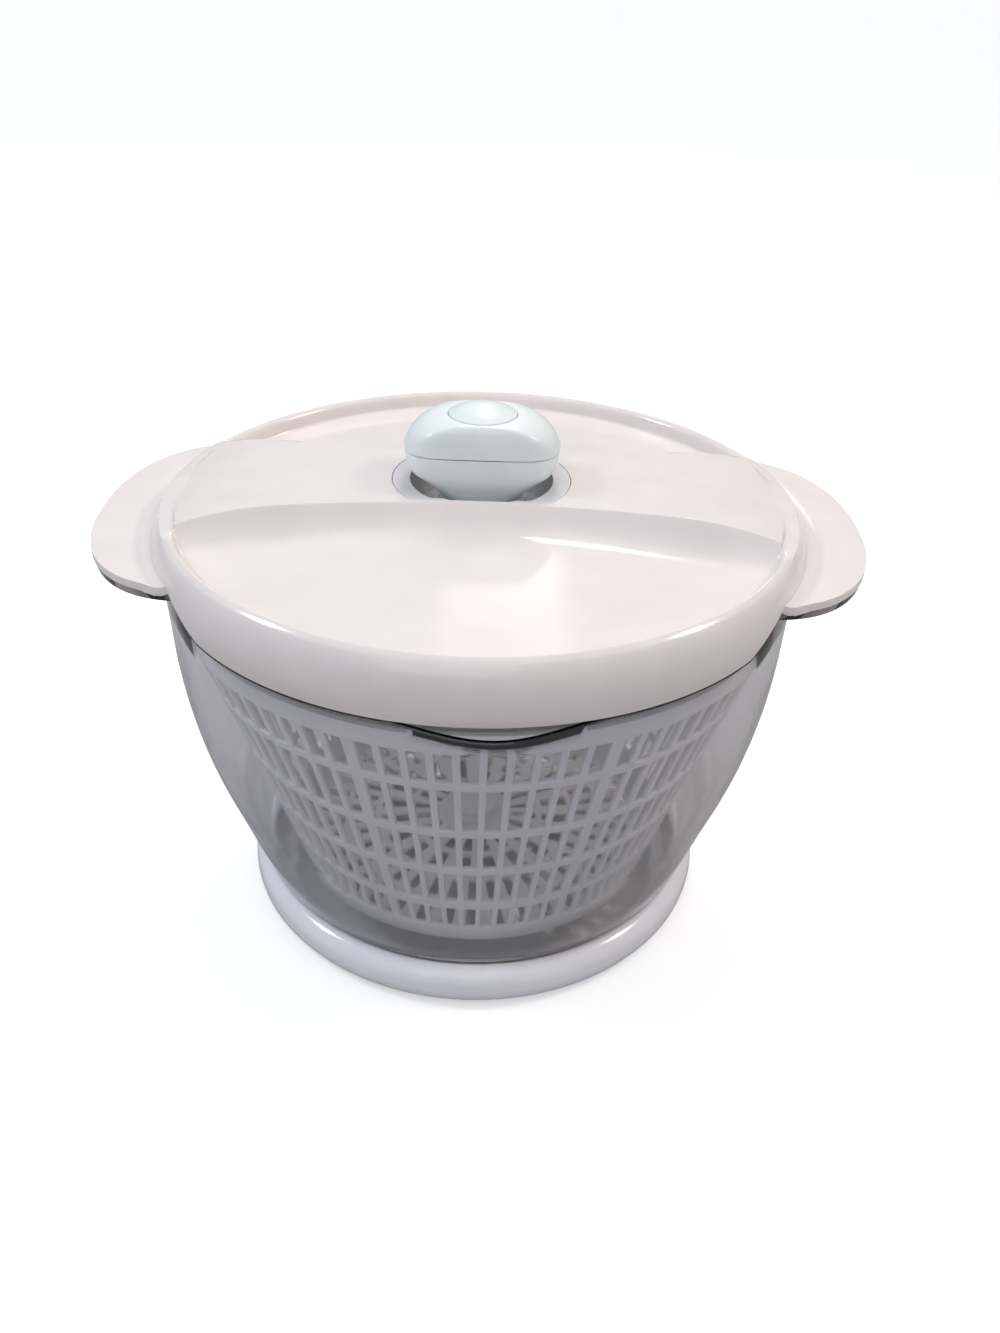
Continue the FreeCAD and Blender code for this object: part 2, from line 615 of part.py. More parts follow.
turned("pivot_pin", [
    ("0", "bowl_foot_height + 1"), ("pivot_radius", "bowl_foot_height + 1"),
    ("pivot_radius", "pivot_top - 1"), ("pivot_radius - 1", "pivot_top"), ("0", "pivot_top"),
])

# ---------------------------------------------------------------------------
# Pivot bush and basket
# ---------------------------------------------------------------------------
bush_low = "pivot_boss_top + seat_gap"
bush_high = "pivot_top + seat_gap + bush_cap"
turned("pivot_bush", [
    ("pivot_radius + running_gap", bush_low), ("bush_radius", bush_low), ("bush_radius", bush_high),
    ("0", bush_high), ("0", "pivot_top + seat_gap"), ("pivot_radius + running_gap", "pivot_top + seat_gap"),
])

floor_top = "basket_floor_height + basket_wall"
hub_outer = "bush_radius + running_gap + hub_wall"
basket_turned = revolved("basket_turned", [
    ("bush_radius + running_gap", f"{bush_low} + 1"), (hub_outer, f"{bush_low} + 1"),
    (hub_outer, "basket_floor_height"), ("basket_floor_radius", "basket_floor_height", "7"),
    ("basket_foot_radius", "basket_foot_height"), ("basket_top_radius", "basket_cone_height"),
    ("basket_top_radius", "basket_height"), ("basket_top_radius - basket_rim_wall", "basket_height"),
    ("basket_top_radius - basket_rim_wall", "basket_cone_height - 1"),
    ("basket_top_radius - basket_wall - 0.6", "basket_cone_height - 4"),
    ("basket_foot_radius - basket_wall - 0.3", "basket_foot_height + 1", "-7"),
    ("basket_floor_radius - 1", floor_top), (hub_outer, floor_top), (hub_outer, f"{bush_high} + 2.3"),
    ("0", f"{bush_high} + 2.3"), ("0", f"{bush_high} + seat_gap"),
    ("bush_radius + running_gap", f"{bush_high} + seat_gap"),
])

SLOT_ROWS = [(32.0, 46.7), (50.7, 71.6), (75.6, 97.2), (101.2, 126.6), (130.6, 147.6)]
FLOOR_ROWS = [(18.0, 30.0, 20), (33.0, 46.0, 20), (49.0, 61.0, 40), (64.0, 76.0, 40)]


def wedge_block(inner, outer, low, high, middle, opening):
    """A block between two radii and two heights, opening degrees wide."""
    half = opening / 2
    corners = [polar(inner, middle - half, low), polar(outer, middle - half, low),
               polar(outer, middle + half, low), polar(inner, middle + half, low)]
    return Part.Face(Part.makePolygon(corners + corners[:1])).extrude(V(0, 0, high - low))


def basket_slots():
    """All the slots of the wall, row by row, and of the floor, ring by ring."""
    blocks = []
    slope = size("(basket_top_radius - basket_foot_radius) / (basket_cone_height - basket_foot_height)")
    group = 360.0 / size("slot_groups")
    count = int(size("slots_in_group"))
    for low, high in SLOT_ROWS:
        inner = size("basket_foot_radius") + slope * (low - size("basket_foot_height")) - 5
        outer = size("basket_foot_radius") + slope * (high - size("basket_foot_height")) + 5
        for g in range(int(size("slot_groups"))):
            for k in range(count):
                middle = size("rib_turn") + group * (g + 0.5) + size("slot_pitch") * (k - (count - 1) / 2)
                blocks.append(wedge_block(inner, outer, low, high, middle, size("slot_open")))
    under, over = size("basket_floor_height - 1"), size(floor_top + " + 1")
    for inner, outer, number in FLOOR_ROWS:
        for k in range(number):
            blocks.append(wedge_block(inner, outer, under, over, 360.0 * k / number, 180.0 / number))
    return Part.makeCompound(blocks)


def drive_dogs(width, depth, low, high):
    """Eight upright ribs inside the basket's rim, or the notches that clear them."""
    outer = size("basket_top_radius - basket_rim_wall / 2")
    inner = size("basket_top_radius - basket_rim_wall") - depth
    dogs = []
    for g in range(int(size("slot_groups"))):
        block = Part.makeBox(outer - inner, width, high - low, V(inner, -width / 2, low))
        block.rotate(V(0, 0, 0), V(0, 0, 1), size("rib_turn") + 360.0 / size("slot_groups") * g)
        dogs.append(block)
    return Part.makeCompound(dogs)


dogs = plain("basket_dogs", drive_dogs(size("dog_width"), size("dog_depth"),
                                       size("basket_height - dog_drop"), size("basket_height - 0.6")))
basket_whole = fused("basket_whole", [basket_turned, dogs])
piece(minus("basket_cut", basket_whole, plain("basket_slots", basket_slots())), "basket")

# ---------------------------------------------------------------------------
# Lid: turned dish with a rolled rim, raised band, ears, skirt and screw posts
# ---------------------------------------------------------------------------
lid_outside = [
    ("0", "lid_edge_height"), ("lid_edge_radius", "lid_edge_height", "rim_side_curve"),
    ("rim_side_radius", "rim_side_height", "rim_outer_curve"),
    ("rim_crest_radius", "rim_crest_height", "rim_inner_curve"),
    ("dish_edge_radius", "dish_edge_height", "-dish_curve"), ("0", "dish_centre_height"),
]
lid_inside = [
    ("0", "lid_edge_height - 1"), ("lid_edge_radius - lid_wall", "lid_edge_height - 1"),
    ("lid_edge_radius - lid_wall", "lid_edge_height", "rim_side_curve + 3"),
    ("rim_side_radius - lid_wall", "rim_side_height - 0.6", "rim_outer_curve - lid_wall"),
    ("rim_crest_radius - 0.5", "rim_crest_height - lid_wall"),
    ("dish_edge_radius + 1", "dish_edge_height - lid_wall"),
    ("dish_edge_radius - 1", "dish_edge_height - lid_wall", "-dish_curve"),
    ("0", "dish_centre_height - lid_wall"),
]


def band_section(drop, low):
    """The band seen from the front: level between its shoulders, falling to the rim."""
    top = f"band_top - ({drop})"
    shoulder = f"band_shoulder_height - ({drop})"
    end = f"band_end_height - ({drop})"
    return [
        ("-band_end_x", low), ("band_end_x", low), ("band_end_x", end, "band_fall_curve"),
        ("band_shoulder_x", shoulder), ("0", top), ("-band_shoulder_x", shoulder, "band_fall_curve"),
        ("-band_end_x", end),
    ]


def band_solid(name, drop, low, inset):
    """The band's section pulled through, less everything beyond its two curved edges."""
    block = across(name + "_block", band_section(drop, low), "dish_edge_radius")
    lens = disc(name + "_lens", f"rim_crest_radius - ({inset})", low, "band_top + 1")
    sides = []
    for word, sign in (("front", "-1"), ("back", "1")):
        sides.append(disc(f"{name}_{word}", f"band_curve + ({inset})", f"{low} - 1", "band_top + 2",
                          y=f"{sign} * (band_curve + band_half_width)"))
    return minus(name, common(name + "_field", [block, lens]), fused(name + "_sides", sides))


band_out = band_solid("band_out", "0", "dish_edge_height - lid_wall", "0")
band_in = band_solid("band_in", "lid_wall", "dish_edge_height - lid_wall - 6", "lid_wall")


def stadium(name, radius, half_width, low, high):
    """A disc cut straight in front and behind, as the openings in the band are."""
    block = box(name + "_block", (f"-({radius})", f"-({half_width})", low), (radius, half_width, high))
    return common(name, [disc(name + "_disc", radius, low, high), block])


collar_low = "band_top - collar_proud - collar_height"
lid_ears = [raised(f"lid_ear_{n}", ear_outline("0", s), "ear_top - ear_thickness", "ear_top")
            for n, s in (("right", 1), ("left", -1))]
lid_wedges = ear_wedges("lid_wedges", "lid_edge_height - 2", "ear_top - ear_thickness", "0.3")
ear_room_core = disc("ear_room_core", "lid_edge_radius - lid_wall - 0.6", "lid_edge_height - 3", "ear_top")
lid_skin = fused("lid_skin", [revolved("lid_outer", lid_outside), band_out] + lid_ears)
lid_room = fused("lid_room", [revolved("lid_inner", lid_inside), band_in,
                              minus("ear_room", lid_wedges, ear_room_core)])
lid_cap = minus("lid_cap", lid_skin, lid_room)
skirt = minus("skirt", disc("skirt_out", "skirt_outer_radius", "skirt_bottom", "dish_edge_height"),
              disc("skirt_in", "skirt_outer_radius - skirt_wall", "skirt_bottom - 1", "dish_edge_height + 1"))
sleeve_radius = "well_radius + collar_sleeve - 0.6"
sleeve_half = "band_half_width - ridge_wall - 0.2"
bore_radius = "well_radius + collar_sleeve - 0.5"
bore_half = "band_half_width - ridge_wall"
well = stadium("well", f"{bore_radius} + 2", "band_half_width", "flange_top", f"{collar_low} - 0.5")
deck = stadium("deck", "collar_radius + 3.5", "band_half_width - 0.1", f"{collar_low} - deck_thickness",
               "band_top - 1.2")
liner_top = "liner_bottom + liner_thickness"

POST_ANGLES = [size(text) for text in ("post_angle", "-post_angle", "180 - post_angle", "180 + post_angle")]
LINER_ANGLES = [90 + 360 / size("liner_posts") * k for k in range(int(size("liner_posts")))]


post_roof = f"{collar_low} - 0.5"
lid_posts = posts("housing_posts", "post_circle", POST_ANGLES, "post_radius", "flange_top", post_roof)
liner_roof = "dish_edge_height - lid_wall + 1"
liner_posts = posts("liner_posts", "liner_circle", LINER_ANGLES, "post_radius", liner_top, liner_roof)
lid_bores = [
    stadium("collar_seat", "collar_radius + collar_gap", bore_half, collar_low, "band_top + 1"),
    stadium("well_bore", bore_radius, bore_half, "flange_top - 1", "band_top + 1"),
    posts("housing_threads", "post_circle", POST_ANGLES, "screw_radius", "flange_top",
          "flange_top + screw_length"),
    posts("liner_threads", "liner_circle", LINER_ANGLES, "screw_radius", liner_top,
          f"{liner_top} + screw_length"),
]
lid_body = fused("lid_body", [lid_cap, skirt, well, deck, lid_posts, liner_posts])
piece(minus("lid_whole", lid_body, fused("lid_bores", lid_bores)), "lid_shell")

# the collar shows left and right of the knob; its sleeve lines the well below the bell
collar_top = "band_top - collar_proud"
collar_blank = fused("collar_blank", [
    stadium("collar_flange", "collar_radius", sleeve_half, collar_low, collar_top),
    stadium("collar_sleeve_blank", sleeve_radius, sleeve_half, "flange_top + seat_gap", collar_top),
])
collar_bore = fused("collar_bore", [
    stadium("collar_hole", "well_radius - 0.6", "well_half_width", "flange_top - 1", "band_top + 1"),
    disc("collar_room", "bell_room", "bell_room_bottom", "band_top + 1"),
])
piece(minus("collar_cut", collar_blank, collar_bore), "well_collar")

# ---------------------------------------------------------------------------
# Under the lid: cover, housing, gland, carrying ring
# ---------------------------------------------------------------------------
housing_bore = "stem_radius + running_gap + 0.04"
housing_outer = "stem_radius + housing_wall"
floor_of_housing = "housing_bottom + housing_floor"
clip_low = "housing_bottom + 1.2"
collar_of_housing = "flange_top + housing_collar"

liner = turned_body("lid_liner", [
    (f"{housing_outer} + 1", "liner_bottom"), ("liner_radius - 2", "liner_bottom", "2"),
    ("liner_radius", liner_top), (f"{housing_outer} + 1", liner_top),
])
drill(liner, "lid_liner", "screw_radius + 0.3", "liner_circle", "liner_posts", "90", "liner_bottom - 1",
      f"{liner_top} + 1")
piece(liner, "lid_liner")
screws("liner_screws", "liner_circle", LINER_ANGLES, "liner_bottom")

housing_tube = revolved("housing_tube", [
    ("journal_radius + running_gap", "housing_bottom"), (f"{housing_outer}", "housing_bottom"),
    (f"{housing_outer}", clip_low), (f"{housing_outer} - 1.2", clip_low),
    (f"{housing_outer} - 1.2", f"{clip_low} + clip_thickness"),
    (f"{housing_outer}", f"{clip_low} + clip_thickness"),
    (f"{housing_outer}", "flange_top - flange_thickness"), ("flange_radius", "flange_top - flange_thickness"),
    ("flange_radius", "flange_top"), (housing_outer, "flange_top"), (housing_outer, collar_of_housing),
    (housing_bore, collar_of_housing), (housing_bore, floor_of_housing),
    ("journal_radius + running_gap", floor_of_housing),
])
flange_trim = box("flange_trim", ("-flange_radius", f"-({housing_outer}) - 6", "housing_bottom - 1"),
                  ("flange_radius", f"{housing_outer} + 6", "flange_top + 1"))
housing_holes = posts("housing_holes", "post_circle", POST_ANGLES, "screw_radius",
                      "flange_top - flange_thickness", "flange_top")
piece(minus("housing_cut", common("housing_trimmed", [housing_tube, flange_trim]), housing_holes),
      "mechanism_housing")
screws("housing_screws", "post_circle", POST_ANGLES, "flange_top - flange_thickness")

turned("stem_gland", [
    (f"{housing_outer} + 0.05", "flange_top"), ("gland_radius", "flange_top"),
    ("gland_radius", "flange_top + 1.2"), (housing_outer, "gland_top"),
    (f"{housing_bore} + 0.15", "gland_top"), (f"{housing_bore} + 0.15", f"{collar_of_housing} + 0.05"),
    (f"{housing_outer} + 0.05", f"{collar_of_housing} + 0.05"),
])

# ---------------------------------------------------------------------------
# Drive plate: disc, cone and hub, turning round the housing on a bush
# ---------------------------------------------------------------------------
clip_outer = f"{housing_outer} + 1.6"
turned("carrying_ring", [
    (f"{housing_outer} - 1.2", clip_low), (clip_outer, clip_low),
    (clip_outer, f"{clip_low} + clip_thickness"), (f"{housing_outer} - 1.2", f"{clip_low} + clip_thickness"),
])
washer_low = f"{clip_low} + clip_thickness + seat_gap"
bush_inner = f"{housing_outer} + running_gap"
drive_bush_outer = f"{bush_inner} + drive_bush_wall"
turned("thrust_washer", [
    (bush_inner, washer_low), (drive_bush_outer, washer_low),
    (drive_bush_outer, f"{washer_low} + 0.8"), (bush_inner, f"{washer_low} + 0.8"),
])
turned("drive_bush", [
    (bush_inner, f"{washer_low} + 0.8"), (drive_bush_outer, f"{washer_low} + 0.8"),
    (drive_bush_outer, "drive_hub_top"), (bush_inner, "drive_hub_top"),
])

hub_radius = f"{drive_bush_outer} + drive_hub_wall"
plate_edge = "basket_top_radius - basket_rim_wall - plate_gap"
plate_top = "plate_height + plate_thickness"
plate_turned = revolved("plate_turned", [
    (drive_bush_outer, "drive_hub_bottom"), (hub_radius, "drive_hub_bottom"),
    (hub_radius, "plate_cone_height"), ("plate_cone_radius", "plate_height"), (plate_edge, "plate_height"),
    (plate_edge, f"{plate_top} + 2"), (f"{plate_edge} - plate_thickness", f"{plate_top} + 2"),
    (f"{plate_edge} - plate_thickness", plate_top), ("plate_cone_radius - 1", plate_top),
    (hub_radius, "plate_cone_height + plate_thickness"), (hub_radius, "drive_hub_top"),
    (drive_bush_outer, "drive_hub_top"),
])
plate_notches = plain("plate_notches", drive_dogs(size("dog_width + 1.6"), size("dog_depth + 1"),
                                                  size("plate_height - 1"), size(f"{plate_top} + 3")))
CAP_ANGLES = [45 + 90 * k for k in range(4)]
cap_circle = f"{drive_bush_outer} + drive_hub_wall / 2"
plate_threads = posts("plate_threads", cap_circle, CAP_ANGLES, "cap_screw_radius", "drive_hub_bottom",
                      "drive_hub_bottom + 6")


def plate_windows():
    """Draining windows in the flat of the plate, with spokes between them."""
    blocks = []
    inner, outer = size("plate_cone_radius + 6"), size(f"{plate_edge} - dog_depth - 6")
    middle = (inner + outer) / 2
    for low, high, number in ((inner, middle - 2, 24), (middle + 2, outer, 32)):
        for k in range(number):
            blocks.append(wedge_block(low, high, size("plate_height - 1"), size(f"{plate_top} + 1"),
                                      360.0 * (k + 0.5) / number, 200.0 / number))
    return Part.makeCompound(blocks)


plate_cuts = fused("plate_cuts", [plate_notches, plate_threads, plain("plate_windows", plate_windows())])
piece(minus("plate_cut", plate_turned, plate_cuts), "drive_plate")

ratchet_low = "drive_hub_bottom + 0.5"
ratchet_high = f"{ratchet_low} + ratchet_height"


def ratchet_shape():
    """A ring with saw teeth inside."""
    low, high = size(ratchet_low), size(ratchet_high)
    ring = Part.makeCylinder(size(drive_bush_outer), high - low, V(0, 0, low))
    count = int(size("ratchet_teeth"))
    tips, roots = size("ratchet_radius"), size("ratchet_radius + ratchet_depth")
    corners = []
    for k in range(count):
        corners += [polar(tips, 360.0 * k / count, low), polar(roots, 360.0 * (k + 0.85) / count, low)]
    hole = Part.Face(Part.makePolygon(corners + corners[:1])).extrude(V(0, 0, high - low))
    return ring.cut(hole)


piece(plain("ratchet_ring", ratchet_shape()), "ratchet_ring")

cap_blank = turned_body("hub_cap", [
    ("0", "drive_hub_bottom - hub_cap_thickness"),
    (f"{hub_radius} - 2", "drive_hub_bottom - hub_cap_thickness", "2"),
    (hub_radius, "drive_hub_bottom - 1"), (hub_radius, "drive_hub_bottom"),
    (f"{drive_bush_outer} - 1", "drive_hub_bottom"), (f"{drive_bush_outer} - 1", "drive_hub_bottom - 0.8"),
    ("0", "drive_hub_bottom - 0.8"),
])
drill(cap_blank, "hub_cap", "cap_screw_radius + 0.2", cap_circle, "4", "45",
      "drive_hub_bottom - hub_cap_thickness - 1", "drive_hub_bottom + 1")
piece(cap_blank, "hub_cap")
cap_screws = []
for angle in CAP_ANGLES:
    seat = polar(size(cap_circle), angle, size("drive_hub_bottom - hub_cap_thickness"))
    shank = Part.makeCylinder(size("cap_screw_radius"), size("hub_cap_thickness + 5"), seat)
    head = Part.makeCylinder(size("cap_screw_head_radius"), size("cap_screw_head_height"), seat, V(0, 0, -1))
    cap_screws.append(shank.fuse(head).removeSplitter())
piece(plain("hub_cap_screws", Part.makeCompound(cap_screws)), "hub_cap_screws")

# ---------------------------------------------------------------------------
# Spindle with its pawls, nut and return spring
# ---------------------------------------------------------------------------
def twisted_bar(width, thickness, low, high):
    """A flat bar twisted right-handed about Z, one turn in every lead."""
    steps = max(2, math.ceil((high - low) / size("twist_lead") * 24))
    wires = []
    for k in range(steps + 1):
        height = low + (high - low) * k / steps
        wire = Part.makePolygon([V(x * width / 2, y * thickness / 2, height)
                                 for x, y in ((-1, -1), (1, -1), (1, 1), (-1, 1), (-1, -1))])
        wire.rotate(V(0, 0, 0), V(0, 0, 1), 360.0 * (height - size("twist_start")) / size("twist_lead"))
        wires.append(wire)
    return Part.makeLoft(wires, True, False)


carrier_low = f"{ratchet_low} + 0.5"
carrier_high = "housing_bottom - 0.8"
thrust_top = f"{floor_of_housing} + seat_gap + 2"
spindle_foot = Part.makeCylinder(size("journal_radius"), size(f"{thrust_top} - ({carrier_low})"),
                                 V(0, 0, size(carrier_low)))
spindle_collar = Part.makeCylinder(size("thrust_radius"), size("2"), V(0, 0, size(f"{thrust_top} - 2")))
spindle_neck = Part.makeCone(size("journal_radius"), size("spindle_width / 2 - 0.2"),
                             size(f"twist_start + 0.5 - ({thrust_top})"), V(0, 0, size(thrust_top)))
spindle_bar = twisted_bar(size("spindle_width"), size("spindle_thickness"), size("twist_start"),
                          size("spindle_top"))
spindle = spindle_foot.fuse([spindle_collar, spindle_neck, spindle_bar])
piece(plain("spiral_spindle", spindle), "spiral_spindle")

PAWL_ANGLES = [90 + 360.0 / size("pawl_count") * k for k in range(int(size("pawl_count")))]


def pawl_blocks(spare):
    """Pawls lying in the carrier, or the pockets that hold them."""
    blocks = []
    inner, outer = size("carrier_radius - 4") - spare, size("pawl_reach") + spare
    width = size("pawl_width") + 2 * spare
    low, high = size(f"{carrier_low} + 1") - spare, size(f"{carrier_high} - 1") + spare
    for angle in PAWL_ANGLES:
        block = Part.makeBox(outer - inner, width, high - low, V(inner, -width / 2, low))
        block.rotate(V(0, 0, 0), V(0, 0, 1), angle)
        blocks.append(block)
    return blocks


carrier = Part.makeCylinder(size("carrier_radius"), size(f"{carrier_high} - ({carrier_low})"),
                            V(0, 0, size(carrier_low)))
carrier = carrier.cut(spindle_foot).cut(pawl_blocks(0.08))
piece(plain("pawl_carrier", carrier), "pawl_carrier")
piece(plain("clutch_pawls", Part.makeCompound(pawl_blocks(0.0))), "clutch_pawls")

turned("spring_seat", [
    ("thrust_radius + 0.3", floor_of_housing), ("stem_bore + 0.8", floor_of_housing),
    ("stem_bore + 0.8", thrust_top), ("thrust_radius + 0.3", thrust_top),
])


def coil(radius, wire, low, high, turns):
    """A round-wire spring of half rings, each tilted to climb half a turn's rise."""
    climb = (high - low - 2 * wire) / (2 * turns)
    tilt = math.atan2(climb / 2, radius)
    half = Part.makeTorus(radius / math.cos(tilt), wire, V(0, 0, 0), V(0, 0, 1), 0, 360, 180)
    half.rotate(V(0, 0, 0), V(0, 1, 0), math.degrees(tilt))
    halves = []
    for k in range(round(2 * turns)):
        ring = half.copy()
        ring.rotate(V(0, 0, 0), V(0, 0, 1), 180 * k)
        ring.translate(V(0, 0, low + wire + climb * (k + 0.5)))
        halves.append(ring)
    return halves[0].fuse(halves[1:]).removeSplitter()


spring_low = size(f"{thrust_top} + spring_end_gap")
spring_high = size("nut_floor - spring_end_gap")
return_spring = coil(size("spring_radius"), size("spring_wire"), spring_low, spring_high,
                     size("spring_turns"))
piece(plain("return_spring", return_spring), "return_spring")

nut_seat = "nut_floor + nut_floor_thickness"
nut_top = f"{nut_seat} + nut_flange_height"
nut_boss = Part.makeCylinder(size("nut_boss_radius"), size("nut_floor_thickness"), V(0, 0, size("nut_floor")))
nut_flange = Part.makeCylinder(size("nut_flange_radius"), size("nut_flange_height"), V(0, 0, size(nut_seat)))
nut_blank = nut_boss.fuse(nut_flange).removeSplitter()
slot_width = size("spindle_width + 2 * nut_gap")
slot_thickness = size("spindle_thickness + 2 * nut_gap")
# the slot is cut with a longer twisted bar that lies in step with the spindle
facet = size("twist_lead") / 24
lead_in = facet * math.floor(size("nut_floor - twist_start") / facet - 1)
nut_slot = twisted_bar(slot_width, slot_thickness, size("twist_start") + lead_in, size(f"{nut_top} + 2"))
NUT_ANGLES = [30, 150, 270]
nut_holes = posts("nut_holes", "nut_screw_circle", NUT_ANGLES, "small_screw_radius", "nut_floor - 1",
                  f"{nut_top} + 1")
piece(plain("spiral_nut", nut_blank.cut(nut_slot).cut(nut_holes.Shape)), "spiral_nut")
nut_screws = []
for angle in NUT_ANGLES:
    seat = polar(size("nut_screw_circle"), angle, size(nut_top))
    reach = size(f"{nut_top} - nut_floor - 0.5")
    shank = Part.makeCylinder(size("small_screw_radius"), reach, seat, V(0, 0, -1))
    head = Part.makeCylinder(size("small_screw_head_radius"), size("small_screw_head_height"), seat)
    nut_screws.append(shank.fuse(head).removeSplitter())
piece(plain("nut_screws", Part.makeCompound(nut_screws)), "nut_screws")

# ---------------------------------------------------------------------------
# Knob: bell with hollow stem, cap with the button's guide, button and its spring
# ---------------------------------------------------------------------------
stem_foot = f"{thrust_top} + 0.7"
knob_high = "knob_top + 1"


def knob_slab(name, foot, flat, low):
    """The knob seen from the side, pulled through from left to right."""
    top = "inlay_radius + button_gap + 0.8"
    slab = across(name, [
        (f"-({foot})", low), (foot, low), (foot, "neck_height"), (flat, "seam_height", "knob_front_curve"),
        (top, "inlay_edge_height"), (top, knob_high), (f"-({top})", knob_high),
        (f"-({top})", "inlay_edge_height", "knob_front_curve"), (f"-({flat})", "seam_height"),
        (f"-({foot})", "neck_height"),
    ], "knob_radius + 5")
    slab.Placement = FreeCAD.Placement(V(0, 0, 0), FreeCAD.Rotation(V(0, 0, 1), 90))
    return slab


knob_outside = knob_slab("knob_outside", "stem_radius + 0.2", "knob_half_depth", f"{stem_foot} - 1")
knob_inside = knob_slab("knob_inside", "stem_bore + 0.3", "knob_half_depth - knob_wall", nut_seat)
bell_outer = revolved("bell_outer", [
    ("0", stem_foot), ("stem_radius", stem_foot), ("stem_radius", "neck_height", "-bell_curve"),
    ("bell_radius", "bell_shoulder_height", "bell_shoulder_curve"), ("knob_radius - 0.1", "seam_height"),
    ("0", "seam_height"),
])
bell_inner = revolved("bell_inner", [
    ("0", nut_seat), ("stem_bore", nut_seat), ("stem_bore", "neck_height - 1"),
    ("stem_radius - 0.6", "neck_height"),
    ("stem_radius - 0.6", "neck_height + 1.6", "-(bell_curve + knob_wall)"),
    ("bell_radius - knob_wall", "bell_shoulder_height", "bell_shoulder_curve - knob_wall"),
    ("knob_radius - knob_wall", "seam_height"), ("knob_radius - knob_wall", "seam_height + 1"),
    ("0", "seam_height + 1"),
])
bell_hollow = fused("bell_hollow", [
    common("bell_room", [bell_inner, knob_inside]),
    disc("stem_hollow", "stem_bore", f"{stem_foot} - 1", "nut_floor"),
    disc("nut_hole", "nut_boss_radius + 0.1", "nut_floor - 1", f"{nut_seat} + 1"),
    posts("bell_holes", "nut_screw_circle", NUT_ANGLES, "small_screw_radius", "nut_floor - 1",
          f"{nut_seat} + 1"),
])
piece(minus("bell_cut", common("bell_blank", [bell_outer, knob_outside]), bell_hollow), "knob_bell")

guide_bore = "inlay_radius + button_flange + 0.4"
guide_outer = f"{guide_bore} + guide_wall"
spring_ledge = "guide_floor + guide_ledge"
lip_low = "button_foot + 2.4"
cap_outer = revolved("cap_outer", [
    ("0", "seam_height"), ("knob_radius", "seam_height", "knob_shoulder_curve"),
    ("inlay_radius + button_gap", "inlay_edge_height"), ("0", "inlay_edge_height"),
])
cap_inner = revolved("cap_inner", [
    (guide_outer, "seam_height - 1"), ("knob_radius - knob_wall", "seam_height - 1"),
    ("knob_radius - knob_wall", "seam_height", "knob_shoulder_curve - knob_wall"),
    ("knob_radius - knob_wall - 4", "seam_height + 6.5"), (guide_outer, "seam_height + 7.5"),
])
cap_recess = disc("cap_recess", f"{guide_outer} + 1", "seam_height - 1", "guide_floor")
cap_hollow = fused("cap_hollow", [
    common("cap_room", [fused("cap_rooms", [cap_inner, cap_recess]), knob_inside]),
    disc("spindle_hole", "spindle_width", "seam_height - 1", f"{spring_ledge} + 1"),
    disc("flange_room", guide_bore, spring_ledge, lip_low),
    disc("button_hole", "inlay_radius + button_gap", f"{lip_low} - 1", knob_high),
])
piece(minus("cap_cut", common("cap_blank", [cap_outer, knob_outside]), cap_hollow), "knob_cap")

button_rise = "(knob_top - inlay_edge_height)"
button_dome = f"((inlay_radius ^ 2 + {button_rise} ^ 2) / (2 * {button_rise}))"
turned("lock_button", [
    ("0", "inlay_edge_height - 1.6"), ("0", "knob_top", f"-{button_dome}"),
    ("inlay_radius", "inlay_edge_height"),
    ("inlay_radius", "button_foot + 2.0"), ("inlay_radius + button_flange", "button_foot + 2.0"),
    ("inlay_radius + button_flange", "button_foot"), ("inlay_radius - 2.2", "button_foot"),
    ("inlay_radius - 2.2", "inlay_edge_height - 1.6"),
])
button_spring = coil(size("inlay_radius - 0.6"), size("button_spring_wire"),
                     size(f"{spring_ledge} + 0.05"), size("button_foot - 0.05"),
                     size("button_spring_turns"))
piece(plain("button_spring", button_spring), "button_spring")

# ---------------------------------------------------------------------------
# Checks and files
# ---------------------------------------------------------------------------
doc.recompute()
for thing in doc.Objects:
    if {"Invalid", "Error"} & set(thing.State):
        raise RuntimeError(f"{thing.Name} is in state {thing.State}")
os.makedirs(PARTS_DIR, exist_ok=True)
for thing in PIECES:
    shape = thing.Shape
    if shape.isNull() or not shape.isValid():
        raise RuntimeError(f"{thing.Label} has no valid shape")
    shape.exportStep(os.path.join(PARTS_DIR, thing.Label + ".step"))
    print(f"{thing.Label:20s} {len(shape.Solids):3d} solids {shape.Volume / 1000:9.3f} cm3")
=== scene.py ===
# %% [markdown]
# # Pump salad spinner
# The object is a clear bowl on a white base ring, with a slotted basket inside and a lid that
# carries a push knob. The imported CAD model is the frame: it says where each part is and how it
# moves. The parts that are seen from outside are modelled again here with softer edges and finer
# forms, and each new piece stands for the CAD node that it replaces.

import json
import math

import bpy
from mathutils import Matrix, Vector


